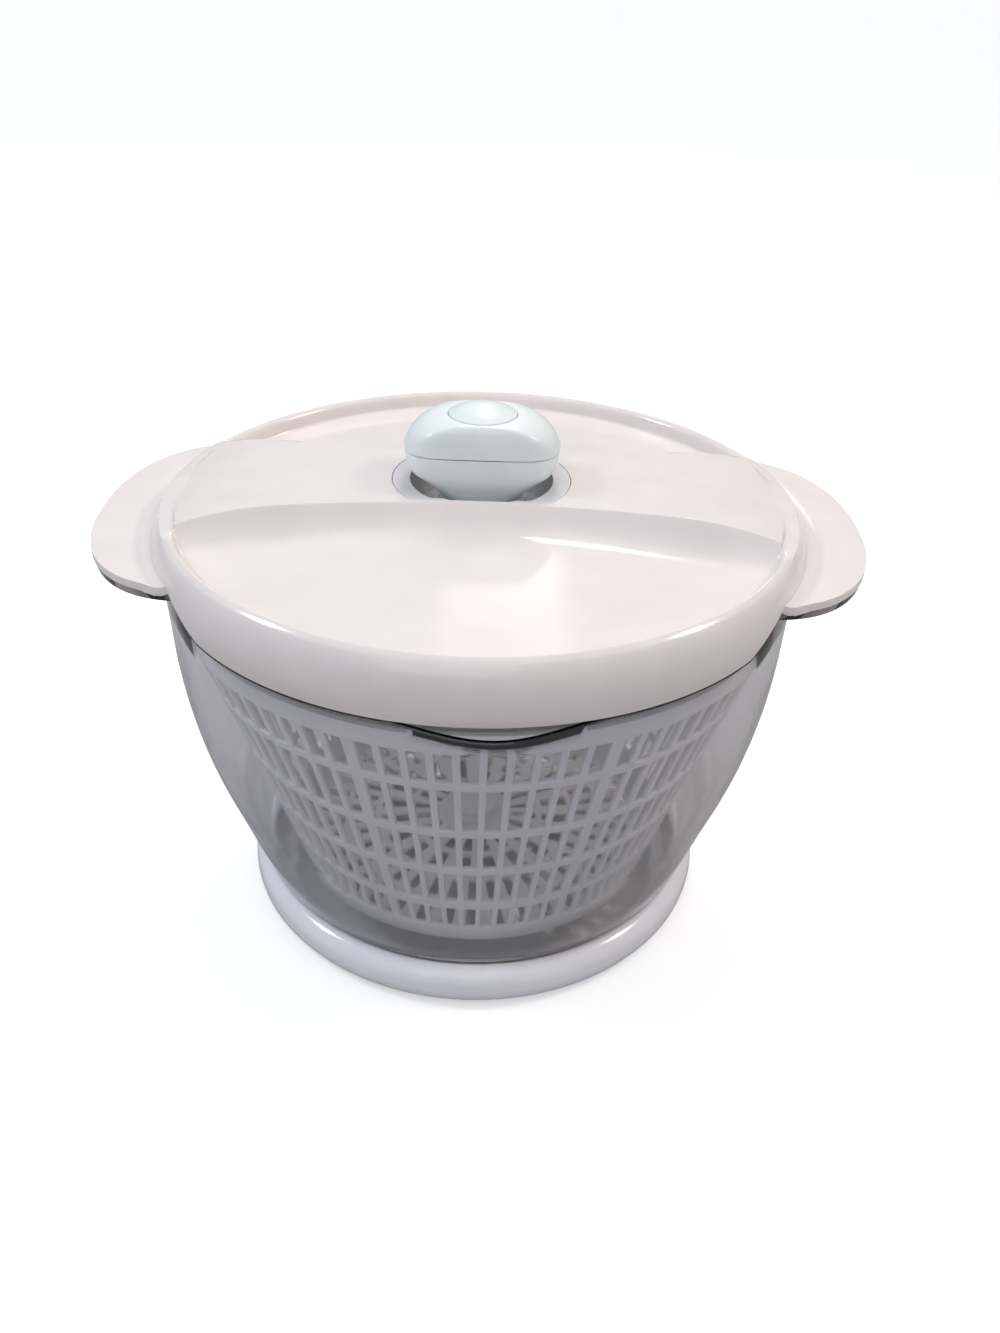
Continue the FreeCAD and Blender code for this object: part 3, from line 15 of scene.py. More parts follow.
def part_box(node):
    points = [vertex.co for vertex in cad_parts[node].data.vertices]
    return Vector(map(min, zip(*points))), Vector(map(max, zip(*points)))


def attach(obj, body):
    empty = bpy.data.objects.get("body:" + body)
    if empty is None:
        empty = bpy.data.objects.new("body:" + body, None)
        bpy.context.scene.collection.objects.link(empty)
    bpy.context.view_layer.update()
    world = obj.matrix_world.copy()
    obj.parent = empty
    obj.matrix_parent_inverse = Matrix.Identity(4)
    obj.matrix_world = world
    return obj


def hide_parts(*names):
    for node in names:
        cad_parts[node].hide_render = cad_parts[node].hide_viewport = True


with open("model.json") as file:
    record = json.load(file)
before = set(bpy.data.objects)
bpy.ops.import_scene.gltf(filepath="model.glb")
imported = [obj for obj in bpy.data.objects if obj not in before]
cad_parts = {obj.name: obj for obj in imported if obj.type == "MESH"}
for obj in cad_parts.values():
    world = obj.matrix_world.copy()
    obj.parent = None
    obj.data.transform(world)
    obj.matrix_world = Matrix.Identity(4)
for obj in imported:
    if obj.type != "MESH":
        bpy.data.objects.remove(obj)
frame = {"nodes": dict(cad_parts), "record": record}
bpy.context.view_layer.update()
MM = 0.001
bpy.context.scene.view_settings.view_transform = "Standard"

# %% [markdown]
# ## Turned pieces
# Bowl, ring, knob and basket are round, so they are made as a potter's wheel makes them: one
# circle is drawn at the first point of an outline and extruded from point to point. The outline
# is a list of (radius, height) in millimetres, and two small helpers draw its arcs: one bows a
# side between two points, and one rounds a corner. A spin of the outline would do the same, but
# ring by ring each edge loop lies exactly where the outline says.

# %% Arcs for outlines
SIDES = 192


def bowed(start, end, radius, steps=8):
    """Points on the arc from start to end; a positive radius has its centre on the left."""
    (x0, y0), (x1, y1) = start, end
    half = math.hypot(x1 - x0, y1 - y0) / 2
    rise = math.copysign(math.sqrt(radius * radius - half * half), radius)
    centre_x = (x0 + x1) / 2 - (y1 - y0) / (2 * half) * rise
    centre_y = (y0 + y1) / 2 + (x1 - x0) / (2 * half) * rise
    first = math.atan2(y0 - centre_y, x0 - centre_x)
    turn = math.copysign(2 * math.asin(half / abs(radius)), radius)
    return [(centre_x + abs(radius) * math.cos(first + turn * k / steps),
             centre_y + abs(radius) * math.sin(first + turn * k / steps)) for k in range(steps + 1)]


def rounded(before, corner, after, radius, steps=4):
    """Points round one corner: the corner between two neighbours made an arc."""
    a = (Vector(before) - Vector(corner)).normalized()
    b = (Vector(after) - Vector(corner)).normalized()
    half = a.angle(b) / 2
    start = Vector(corner) + a * radius / math.tan(half)
    end = Vector(corner) + b * radius / math.tan(half)
    left = a.x * b.y - a.y * b.x < 0
    return bowed(start, end, radius if left else -radius, steps)


print("an arc of 8 steps:", len(bowed((0, 0), (10, 10), 20)), "points")

# %% Selecting, turning and applying
AXIS = 0.01


def select_only(piece):
    """Leaves one object selected and active."""
    bpy.ops.object.select_all(action="DESELECT")
    piece.select_set(True)
    bpy.context.view_layer.objects.active = piece


def settle(piece):
    """Puts the place into the mesh, so that the object sits at the origin."""
    select_only(piece)
    bpy.ops.object.transform_apply(location=True, rotation=True, scale=True)
    return piece


def tidy_mesh(piece, gap=0.03):
    """Merges the doubles and turns the faces outwards."""
    select_only(piece)
    bpy.ops.object.mode_set(mode="EDIT")
    bpy.ops.mesh.select_all(action="SELECT")
    bpy.ops.mesh.remove_doubles(threshold=gap * MM)
    bpy.ops.mesh.normals_make_consistent(inside=False)
    bpy.ops.object.mode_set(mode="OBJECT")
    return piece


def turned(name, outline, sides=SIDES):
    """Extrudes a circle along an outline of (radius, height), in millimetres."""
    bpy.ops.object.select_all(action="DESELECT")
    radius, height = outline[0]
    radius = max(radius, AXIS)
    bpy.ops.mesh.primitive_circle_add(vertices=sides, radius=radius * MM, location=(0, 0, height * MM))
    piece = settle(bpy.context.object)
    piece.name = name
    bpy.ops.object.mode_set(mode="EDIT")
    bpy.ops.mesh.select_all(action="SELECT")
    for next_radius, next_height in outline[1:]:
        next_radius = max(next_radius, AXIS)
        rise = (0, 0, (next_height - height) * MM)
        grow = next_radius / radius
        bpy.ops.mesh.extrude_region_move(TRANSFORM_OT_translate={"value": rise})
        bpy.ops.transform.resize(value=(grow, grow, 1), center_override=(0, 0, next_height * MM))
        radius, height = next_radius, next_height
    bpy.ops.object.mode_set(mode="OBJECT")
    return tidy_mesh(piece)


def modify(piece, kind, **settings):
    """Adds a modifier, sets it and applies it."""
    select_only(piece)
    modifier = piece.modifiers.new(kind, kind)
    for name, value in settings.items():
        setattr(modifier, name, value)
    bpy.ops.object.modifier_apply(modifier=modifier.name)
    return piece


def combine(piece, other, operation):
    """Cuts or adds another object with an exact boolean and deletes it."""
    modify(piece, "BOOLEAN", object=other, operation=operation, solver="EXACT")
    bpy.data.objects.remove(other)
    return piece


def join(piece, *others):
    """Joins the others into the piece, each in its place."""
    select_only(piece)
    for other in others:
        other.select_set(True)
    bpy.ops.object.join()
    return piece


def smooth(piece, degrees=35):
    """Smooth shading, broken at edges sharper than this."""
    select_only(piece)
    bpy.ops.object.shade_smooth_by_angle(angle=math.radians(degrees))
    print(f"{piece.name}: {len(piece.data.polygons)} faces")
    return piece


print("helpers ready")

# %% [markdown]
# ## The lid's top
# The lid is one moulding: a shallow dish with a rolled rim, crossed from left to right by a
# raised band that holds the knob. The band's two long edges are arcs, and the dish meets them in
# a soft hollow. A grid can be bent so that its columns run across the lid and one of its rows
# lies exactly on each ridge, which keeps the ridge crisp. A subdivided disc would cut the ridge
# at an angle and leave it jagged.

# %% Sizes of the lid
DISH_RADIUS = 123.0
BAND_HALF = 25.4
BAND_CURVE = 403.0
BAND_TOP = 196.7
DISH_EDGE = 182.4
DISH_RISE = 7.2
RIDGE_SOFT = 4.8
CORNER_ANGLE = 22.06
BAND_SHARE = 0.3
WALL = 2.7


def band_height(x):
    """The band is level over the middle and falls towards the rim."""
    return BAND_TOP - 0.0031 * max(0.0, abs(x) - 77) ** 2


def dish_height(radius):
    """The dish rises slowly from its crease to the middle."""
    return DISH_EDGE + DISH_RISE * (1 - min(radius / DISH_RADIUS, 1)) ** 1.25


def ridge_y(x):
    """Half the band's width, from the arc of its long edge."""
    return BAND_HALF + BAND_CURVE - math.sqrt(BAND_CURVE ** 2 - x * x)


print("band is", round(2 * ridge_y(0), 1), "mm wide in the middle and", round(2 * ridge_y(115), 1), "at its ends")


# %% The grid bent into dish and band
def lid_point(across, along):
    """Where a point of the flat grid, both sides from -1 to 1, lies on the lid, in millimetres."""
    angle = math.radians(90 - (90 - CORNER_ANGLE) * across)
    edge_x, edge_y = DISH_RADIUS * math.cos(angle), DISH_RADIUS * math.sin(angle)
    ridge_x = edge_x * 1.0175
    ridge = ridge_y(ridge_x)
    share = min(abs(along) / BAND_SHARE, 1.0)
    y = share * ridge
    bulge = (math.sqrt(DISH_RADIUS ** 2 - y * y) - 116) * abs(across) ** 6
    x = ridge_x + math.copysign(bulge, across) if across else 0.0
    if share < 1:
        return x, math.copysign(y, along), band_height(x)
    beyond = ((abs(along) - BAND_SHARE) / (1 - BAND_SHARE)) ** 1.8
    x += (edge_x - x) * beyond
    y += (edge_y - y) * beyond
    slope = x / math.sqrt(BAND_CURVE ** 2 - x * x)
    away = max(0.0, y - ridge_y(x)) / math.hypot(1, slope)
    low = dish_height(math.hypot(x, y))
    height = low + (band_height(x) - low) * math.exp(-(away / RIDGE_SOFT) ** 1.25)
    return x, math.copysign(y, along), height


bpy.ops.object.select_all(action="DESELECT")
bpy.ops.mesh.primitive_grid_add(x_subdivisions=120, y_subdivisions=120, size=2)
lid = bpy.context.object
lid.name = "lid_cover"
for vertex in lid.data.vertices:
    vertex.co = Vector(lid_point(vertex.co.x, vertex.co.y)) * MM
print("lid grid:", len(lid.data.vertices), "points")

# %% [markdown]
# ## The lid's rolled rim
# Outside the crease the lid swells into a rounded rim and drops to an edge that sits on the bowl.
# The grid's outline is extruded ring by ring. Each new ring is first lifted by a whole metre, so
# that its number can be read from its height, and is then laid in its place. Above the ears the
# lower edge is raised to let the bowl's ears pass.

# %% Rings of the rim
RIM = ([(124.0, 183.0)] + bowed((124.9, 185.6), (127.6, 189.1), -4.6, 4)
       + bowed((129.3, 188.2), (133.8, 177.5), -15.8, 9) + bowed((133.85, 176.4), (131.0, 163.9), -27, 8)
       + [(130.9, 163.4), (130.3, 163.2)])
RIM_END = [DISH_EDGE + 7.7, 190.0, 189.9, 189.8, 189.7, 189.5, 189.1]
EAR_EDGE = 176.9
LIFT = 1.0


def ease(t):
    """0 to 1 with no jolt at either end."""
    t = min(max(t, 0.0), 1.0)
    return t * t * (3 - 2 * t)


def ear_share(x, y, inner=28, outer=39):
    """1 beside an ear, 0 away from it, and a smooth change between."""
    from_side = math.degrees(math.atan2(abs(y), abs(x)))
    return 1 - ease((from_side - inner) / (outer - inner))


def raised_edge(height, share, low=163.2, high=EAR_EDGE, top=181.0):
    """Squeezes the lower part of the rim upwards beside the ears."""
    if height > top:
        return height
    return top - (top - height) * (1 - share * (1 - (top - high) / (top - low)))


select_only(lid)
bpy.ops.object.mode_set(mode="EDIT")
bpy.ops.mesh.select_all(action="SELECT")
bpy.ops.mesh.region_to_loop()
for ring in RIM:
    bpy.ops.mesh.extrude_region_move(TRANSFORM_OT_translate={"value": (0, 0, LIFT)})
bpy.ops.object.mode_set(mode="OBJECT")
for vertex in lid.data.vertices:
    number = int(vertex.co.z / LIFT)
    if number:
        start = vertex.co.z / MM - number * LIFT / MM
        x, y = vertex.co.x, vertex.co.y
        radius, height = RIM[number - 1]
        over_band = min(max((start - DISH_EDGE) / 7.7, 0.0), 1.0)
        if number <= len(RIM_END):
            height += (RIM_END[number - 1] - height) * over_band * (height < RIM_END[number - 1])
        height = raised_edge(height, ear_share(x, y))
        scale = radius * MM / math.hypot(x, y)
        vertex.co = (x * scale, y * scale, height * MM)
tidy_mesh(lid)
modify(lid, "SOLIDIFY", thickness=WALL * MM, offset=-1)
print("lid with its rim:", len(lid.data.vertices), "points")

# %% [markdown]
# ## Ears
# Lid and bowl each have a thin ear left and right, and the two lie on each other like a lip. An
# ear is a grid whose outer side follows a soft, squarish curve and whose inner side follows the
# wall, given a thickness and a rounded edge. A bevelled box would have straight sides and corners
# that are too tight.

# %% One ear
EAR_HALF = 70.5
EAR_TIP = 157.0


def ear(name, side, top, thickness, inner, inset, dent):
    """A grid laid between the wall and the ear's outline, then thickened and rounded."""
    bpy.ops.object.select_all(action="DESELECT")
    bpy.ops.mesh.primitive_grid_add(x_subdivisions=28, y_subdivisions=72, size=2)
    piece = bpy.context.object
    piece.name = name
    half = EAR_HALF - inset
    root = math.sqrt(inner ** 2 - half ** 2)
    for vertex in piece.data.vertices:
        share = (vertex.co.x + 1) / 2
        y = half * math.sin(math.pi / 2 * vertex.co.y * 0.995)
        out = root + (EAR_TIP - inset - root) * (1 - abs(y / half) ** 2.3) ** 0.45
        wall = math.sqrt(inner ** 2 - y * y)
        x = wall + (out - wall) * share
        drop = dent * math.exp(-((math.hypot(x, y) - 137) / 2.6) ** 2)
        vertex.co = (side * x * MM, y * MM, (top - drop) * MM)
    tidy_mesh(piece)
    select_only(piece)
    bpy.ops.object.mode_set(mode="EDIT")
    bpy.ops.mesh.select_all(action="SELECT")
    if piece.data.polygons[0].normal.z < 0:
        bpy.ops.mesh.flip_normals()
    bpy.ops.object.mode_set(mode="OBJECT")
    modify(piece, "SOLIDIFY", thickness=thickness * MM, offset=-1)
    modify(piece, "BEVEL", width=1.1 * MM, segments=3, limit_method="ANGLE", angle_limit=math.radians(50))
    return piece


lid_ears = [ear(f"lid_ear_{side}", side, 180.0, 3.2, 130.5, 0.0, 1.2) for side in (-1, 1)]
print("two ears for the lid")

# %% [markdown]
# ## The well round the knob
# The band is open round the knob, and a grey collar is set into the opening. A block with the
# opening's shape, a short cylinder cut straight in front and behind, is taken out of the lid with
# a boolean, with a shallow wider step for the collar's flange.


# %% Cutting the well
def flat_sided(name, radius, half_width, low, high):
    """A cylinder cut straight in front and behind."""
    piece = turned(name, [(0, low), (radius, low), (radius, high), (0, high)], 128)
    bpy.ops.object.select_all(action="DESELECT")
    bpy.ops.mesh.primitive_cube_add(size=1, location=(0, 0, (low + high) / 2 * MM))
    block = bpy.context.object
    block.scale = (3 * radius * MM, 2 * half_width * MM, 2 * (high - low) * MM)
    settle(block)
    return combine(piece, block, "INTERSECT")


low_collar, high_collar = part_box("well_collar")
seat_height = high_collar.z / MM - 3.0
combine(lid, flat_sided("well_cut", 31.0, 23.5, 150, 210), "DIFFERENCE")
combine(lid, flat_sided("collar_cut", 36.8, 23.5, seat_height, 210), "DIFFERENCE")
smooth(join(lid, *lid_ears), 32)

# %% [markdown]
# ## The clear bowl
# The bowl is turned with its real wall thickness, inside and outside in one closed outline,
# because clear plastic shows both surfaces. Its rim is raised beside the ears and drawn out into
# a small lip in front. Those two changes are made by moving the turned points with a smooth
# share of height and angle, as a mould maker would blend them.

# %% Turning the bowl
outer_foot = [(0, 5)] + rounded((0, 5), (97.5, 5), (97.5, 18), 3) + [(97.5, 17.5)]
outer_wall = bowed((97.5, 17.5), (102.5, 24.5), -9, 6)[1:] + [(107, 38.4), (111.4, 52)]
outer_wall += bowed((115.7, 65), (130.0, 145.0), 250, 16) + [(130.5, 154), (130.9, 162.6), (130.4, 163.2)]
inner_wall = [(129.0, 163.2), (128.4, 162.6), (128.0, 154)] + bowed((127.5, 145), (113.2, 66), -250, 16)
inner_wall += [(109.0, 53), (104.6, 39.4)] + bowed((100.0, 25.5), (95, 18.5), 9, 6)
inner_foot = rounded((95, 18.5), (95, 7.5), (0, 7.5), 3) + [(13, 7.5), (13, 8), (8, 12.6), (7.4, 13), (0, 13)]
bowl = turned("clear_bowl", outer_foot + outer_wall + inner_wall + inner_foot)
print("bowl turned:", len(bowl.data.vertices), "points")

# %% Raised sides and pouring lip
BOWL_RIM = 163.2
BOWL_EAR = 176.5
LIP_HALF = 19.0
LIP_TURN = 4.0


def lip_share(x, y):
    """1 in the middle of the pouring lip and 0 beyond its ends."""
    from_front = math.degrees(math.atan2(x, -y)) - LIP_TURN
    return ease(1 - abs(from_front) / LIP_HALF)


for vertex in bowl.data.vertices:
    x, y, z = vertex.co / MM
    if z > 135:
        upper = ease((z - 140) / (BOWL_RIM - 140))
        share = lip_share(x, y) * upper
        lift = (BOWL_EAR - BOWL_RIM) * ear_share(x, y) * min(1, max(0, (z - 150) / (BOWL_RIM - 150)))
        radius = math.hypot(x, y)
        grow = (radius + 3.3 * share) / radius
        vertex.co = (x * grow * MM, y * grow * MM, (z + lift - 3.8 * share) * MM)
for side in (-1, 1):
    combine(bowl, ear(f"bowl_ear_{side}", side, BOWL_EAR, 3.2, 129.4, 0.7, 0.0), "UNION")
smooth(bowl, 40)

# %% [markdown]
# ## The base ring
# A white ring carries the bowl and hides its foot. It is a closed turned outline: flat below,
# bulging outside and rounded into a lip that touches the clear wall. A groove underneath holds the rubber ring.

# %% Turning the ring
ring_outside = [(89, 3), (95, 3), (95, 4.5), (100, 4.5), (100, 3)] + rounded((100, 3), (104, 3), (106, 8), 1.2)
ring_outside += bowed((105.4, 5.6), (106, 10), 12, 4) + bowed((105.8, 12), (101.6, 18.4), 7, 6)
ring_top = [(100.6, 18.9), (99.6, 19.0), (98.7, 18.8), (97.8, 18.2), (97.7, 5), (89, 5), (89, 3)]
base_ring = turned("stand_ring", ring_outside + ring_top)
smooth(base_ring, 35)

# %% [markdown]
# ## The slotted basket
# The wall is a cone with five rows of upright slots in eight groups, parted by broad ribs, and
# the floor has four rings of slots. Every slot is one cell of a grid of columns and rings, so the
# wall is extruded ring by ring with a ring at each slot's upper and lower end, its columns are
# turned to the slots' sides, and the slots' faces are deleted before the wall gets its thickness.

# %% Rings, columns and slots
GROUPS, SLOTS = 8, 10
SLOT_PITCH, SLOT_OPEN, RIB_TURN = 4.4, 3.05, 25.0
WALL_ROWS = [(32.0, 46.7), (50.7, 71.6), (75.6, 97.2), (101.2, 126.6), (130.6, 147.6)]
FLOOR_RINGS = [(18, 30, 8), (33, 46, 8), (49, 61, 4), (64, 76, 4)]
COLUMNS = 2 * GROUPS * SLOTS


def column_angle(number):
    """Where a column's edge lies: even numbers open a slot and odd ones close it."""
    group, slot = divmod(number // 2, SLOTS)
    middle = RIB_TURN + 360 / GROUPS * (group + 0.5) + SLOT_PITCH * (slot - (SLOTS - 1) / 2)
    return math.radians(middle + SLOT_OPEN * (number % 2 - 0.5))


def cone_radius(height):
    """The basket's outside radius at a height of its wall."""
    return 85.6 + (124.7 - 85.6) * (height - 23) / (150 - 23)


floor_radii = [10.1] + [radius for ring in FLOOR_RINGS for radius in ring[:2]] + [78]
basket_outline = [(radius, 19.0) for radius in floor_radii] + bowed((80.5, 19.2), (85.4, 22.4), 7, 3)
basket_outline += [(cone_radius(height), height) for row in WALL_ROWS for height in row] + [(124.7, 150)]
basket = turned("slotted_basket", basket_outline, COLUMNS)
for vertex in basket.data.vertices:
    number = round((math.degrees(math.atan2(vertex.co.y, vertex.co.x)) - 90) % 360 / 360 * COLUMNS) % COLUMNS
    radius = math.hypot(vertex.co.x, vertex.co.y)
    angle = column_angle(number)
    vertex.co = (radius * math.cos(angle), radius * math.sin(angle), vertex.co.z)
print("basket blank:", len(basket.data.polygons), "cells in", COLUMNS, "columns")


# %% Opening the slots
def is_slot(face):
    """Whether a cell of the blank is a slot of the wall or of the floor."""
    x, y, z = face.center / MM
    radius = math.hypot(x, y)
    turn = (math.atan2(y, x) - column_angle(0)) % math.tau
    number = min(range(COLUMNS), key=lambda k: abs((column_angle(k) + math.radians(0.8) - column_angle(0)) % math.tau - turn))
    if z > 23:
        return number % 2 == 0 and any(low < z < high for low, high in WALL_ROWS)
    return any(inner < radius < outer and number % period < period / 2 for inner, outer, period in FLOOR_RINGS)


select_only(basket)
bpy.ops.object.mode_set(mode="EDIT")
bpy.ops.mesh.select_mode(type="FACE")
bpy.ops.mesh.select_all(action="DESELECT")
bpy.ops.object.mode_set(mode="OBJECT")
slot_count = 0
for face in basket.data.polygons:
    face.select = is_slot(face)
    slot_count += face.select
bpy.ops.object.mode_set(mode="EDIT")
bpy.ops.mesh.delete(type="FACE")
bpy.ops.mesh.select_mode(type="VERT")
bpy.ops.object.mode_set(mode="OBJECT")
modify(basket, "SOLIDIFY", thickness=2.0 * MM, offset=-1, use_even_offset=True)
modify(basket, "BEVEL", width=0.35 * MM, segments=2, limit_method="ANGLE", angle_limit=math.radians(40))
print("slots opened:", slot_count)

# %% Rim, hub and the ribs that the lid drives
rim = turned("basket_rim", [(121.4, 148.6), (124.5, 149.8)] + bowed((124.7, 150.4), (124.3, 155.3), 30, 2)
             + [(123.8, 155.5), (121.8, 155.5), (121.3, 155.1), (121.4, 148.6)])
hub_outside = [(7.1, 14.3), (10.1, 14.3), (10.1, 26.4), (9.5, 27.0), (0, 27.0)]
hub = turned("basket_hub", hub_outside + [(0, 24.9), (7.1, 24.9), (7.1, 14.3)], 64)
dogs = []
for number in range(GROUPS):
    bpy.ops.object.select_all(action="DESELECT")
    bpy.ops.mesh.primitive_cube_add(size=1, location=(119.8 * MM, 0, 150.7 * MM))
    dog = bpy.context.object
    dog.scale = (5.0 * MM, 6.0 * MM, 8.4 * MM)
    settle(dog)
    modify(dog, "BEVEL", width=0.5 * MM, segments=2)
    dog.data.transform(Matrix.Rotation(math.radians(RIB_TURN + 360 / GROUPS * number), 4, "Z"))
    dogs.append(dog)
join(basket, rim, hub, *dogs)
smooth(basket, 35)

# %% [markdown]
# ## The knob
# The knob is a palm grip in two mouldings with a seam at its widest line: a bell that runs down
# into a hollow stem, and a domed cap with a round button in its top. All three are turned from
# closed outlines. Bell and cap are then pressed flat in front and behind, with soft corners, by
# drawing each point in to a rounded limit. A boolean cut would leave sharp corners there. A fine
# gap is left at the seam and round the button, because that shadow line is what shows that they
# are separate parts.

# %% Flat front and back
KNOB_SEAM = 211.0
KNOB_WALL = 2.6


def knob_depth(height):
    """Half the knob's depth from front to back at a height."""
    if height > KNOB_SEAM + 1:
        rise = min((height - KNOB_SEAM - 1) / 12.2, 1.0)
        return 14.9 + 3.2 * math.sqrt(1 - rise * rise)
    return 15.2 + 2.9 * max(0.0, (height - 188) / (KNOB_SEAM + 1 - 188)) ** 0.6


def flatten(piece, outer_radius, inner_radius):
    """Draws the points outside outer_radius in to the depth, and the hollow's to the depth less the wall."""
    for vertex in piece.data.vertices:
        x, y, z = vertex.co / MM
        radius = math.hypot(x, y)
        if z < 188 or radius < outer_radius(z) and not inner_radius < radius:
            continue
        depth = knob_depth(z) - (KNOB_WALL if radius < outer_radius(z) else 0)
        power = 8 + 16 * max(ease((z - 214) / 10), ease((203 - z) / 12))
        limit = depth * radius / max(abs(y), 0.01)
        drawn = (radius ** -power + limit ** -power) ** (-1 / power) / radius
        vertex.co = (x * drawn * MM, y * drawn * MM, z * MM)


print("the knob is", round(2 * knob_depth(KNOB_SEAM), 1), "mm deep at its seam")

# %% Bell and stem
stem_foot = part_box("knob_bell")[0].z / MM
bell_side = bowed((14.7, 187.6), (29.0, 202.0), -48, 12) + bowed((29.0, 202.0), (31.45, 210.6), 14, 6)[1:]
bell_edge = [(31.4, 210.85), (31.2, 211.0), (28.8, 211.0)]
bell_inside = bowed((28.7, 210.6), (26.2, 201.6), -12, 5) + bowed((26.2, 201.6), (14.1, 189.4), 50, 8)[1:]
bell_inside += [(11.5, 188.4), (11.5, 186.6), (6.5, 186.6), (6.5, 184)]
bell = turned("knob_lower", [(11.5, stem_foot), (14.3, stem_foot), (14.7, stem_foot + 0.4)] + bell_side
              + bell_edge + bell_inside + [(11.5, 184), (11.5, stem_foot)])
flatten(bell, lambda z: 14.6 + max(0.0, min(z - 189.5, 12.5)) * 0.95 + max(0.0, z - 202) * 0.2, 13.0)
smooth(bell, 35)

# %% Cap
cap_outside = [(29.1, 211.3), (31.2, 211.3), (31.5, 211.45)]
cap_outside += bowed((31.7, 211.9), (14.6, 224.15), 17.2, 24) + [(14.2, 224.15), (13.95, 223.8)]
cap_inside = [(13.95, 219.8), (15.1, 219.8), (15.1, 212.6), (9, 212.6), (9, 211.3), (17.1, 211.3), (17.1, 218.5)]
cap_inside += bowed((25.1, 217.5), (29.1, 211.9), -12, 6) + [(29.1, 211.3)]
cap = turned("knob_upper", cap_outside + cap_inside)
flatten(cap, lambda z: 29.3 if z < 212 else 13.0 if z > 219.9 else 29.2 - (z - 212) * 0.55, 17.5)
smooth(cap, 35)

# %% Button
dome = bowed((13.1, 224.7), (0, 228.2), 26.3, 10)
button_side = [(13.7, 217.4), (14.7, 217.4), (14.7, 219.4), (13.7, 219.4), (13.7, 224.1), (13.5, 224.5)]
button = turned("push_button", [(0, 222.8), (11.5, 222.8), (11.5, 217.4)] + button_side + dome)
smooth(button, 35)

# %% [markdown]
# ## Pieces on their bodies
# Each new piece rides on the body of the CAD nodes it stands for, so it moves with the joints.

# %% Riding and replacing
STANDS_FOR = [
    (lid, "lid_unit", "lid_plastic", "lid_shell"),
    (bowl, "bowl_unit", "clear_plastic", "bowl"),
    (base_ring, "bowl_unit", "ring_plastic", "base_ring"),
    (basket, "basket_unit", "basket_plastic", "basket"),
    (bell, "knob_unit", "knob_plastic", "knob_bell"),
    (cap, "knob_unit", "knob_plastic", "knob_cap"),
    (button, "button_unit", "knob_plastic", "lock_button"),
]
for piece, body, slot, node in STANDS_FOR:
    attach(piece, body)
    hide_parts(node)
    print(piece.name, "stands for", node)

# %% [markdown]
# ## Finishes
# Nearly everything is moulded plastic. What tells the parts apart is colour, gloss and how the
# light passes through, so each finish is a shader with its own colour, roughness and index of
# refraction, a slow waviness that bends reflections as on real mouldings, and a fine grain that
# varies the gloss a little. The patterns read Object coordinates, and their scales come from
# sizes in millimetres.


# %% Helpers for finishes
def linear(hex_colour):
    """An sRGB hex colour as the linear numbers that a shader takes."""
    parts = [int(hex_colour[k:k + 2], 16) / 255 for k in (0, 2, 4)]
    return [c / 12.92 if c <= 0.04045 else ((c + 0.055) / 1.055) ** 2.4 for c in parts] + [1.0]


def add_node(tree, kind, inputs=None, **settings):
    """Adds one node; its inputs are numbers, colours or other nodes' outputs."""
    made = tree.nodes.new(kind)
    for name, value in settings.items():
        setattr(made, name, value)
    for name, value in (inputs or {}).items():
        if isinstance(value, bpy.types.NodeSocket):
            tree.links.new(value, made.inputs[name])
        else:
            made.inputs[name].default_value = value
    return made


def moulded(name, colour, roughness, spread=0.04, wave_mm=18.0, wave_depth=0.04, grain_mm=0.7,
            grain_depth=0.0, tint=0.02, **shader):
    """A moulded surface: slow waves, fine grain and gloss that varies by the spread."""
    material = bpy.data.materials.new(name)
    material.use_nodes = True
    tree = material.node_tree
    tree.nodes.clear()
    place = add_node(tree, "ShaderNodeTexCoord").outputs["Object"]
    waves = add_node(tree, "ShaderNodeTexNoise", {"Vector": place, "Scale": 1 / (wave_mm * MM), "Detail": 1.0})
    grain = add_node(tree, "ShaderNodeTexNoise", {"Vector": place, "Scale": 1 / (grain_mm * MM), "Detail": 3.0})
    gloss = add_node(tree, "ShaderNodeMapRange", {"Value": grain.outputs["Fac"], "From Min": 0.3, "From Max": 0.7,
                                                  "To Min": roughness - spread, "To Max": roughness + spread})
    pale = add_node(tree, "ShaderNodeMapRange", {"Value": waves.outputs["Fac"], "From Min": 0.3, "From Max": 0.7,
                                                 "To Min": 1 - tint, "To Max": 1 + tint})
    shade = add_node(tree, "ShaderNodeVectorMath", {0: linear(colour)[:3], "Scale": pale.outputs["Result"]},
                     operation="SCALE")
    slow = add_node(tree, "ShaderNodeBump", {"Height": waves.outputs["Fac"], "Strength": 1.0,
                                             "Distance": wave_depth * MM})
    fine = add_node(tree, "ShaderNodeBump", {"Height": grain.outputs["Fac"], "Strength": 1.0,
                                             "Distance": grain_depth * MM, "Normal": slow.outputs["Normal"]})
    inputs = {"Base Color": shade.outputs["Vector"], "Roughness": gloss.outputs["Result"],
              "Normal": fine.outputs["Normal"], "IOR": 1.53}
    inputs.update({key.replace("_", " ").title().replace("Ior", "IOR"): value for key, value in shader.items()})
    surface = add_node(tree, "ShaderNodeBsdfPrincipled", inputs)
    add_node(tree, "ShaderNodeOutputMaterial", {"Surface": surface.outputs["BSDF"]})
    return material


print("white as a shader sees it:", [round(c, 3) for c in linear("f2e8e6")[:3]])

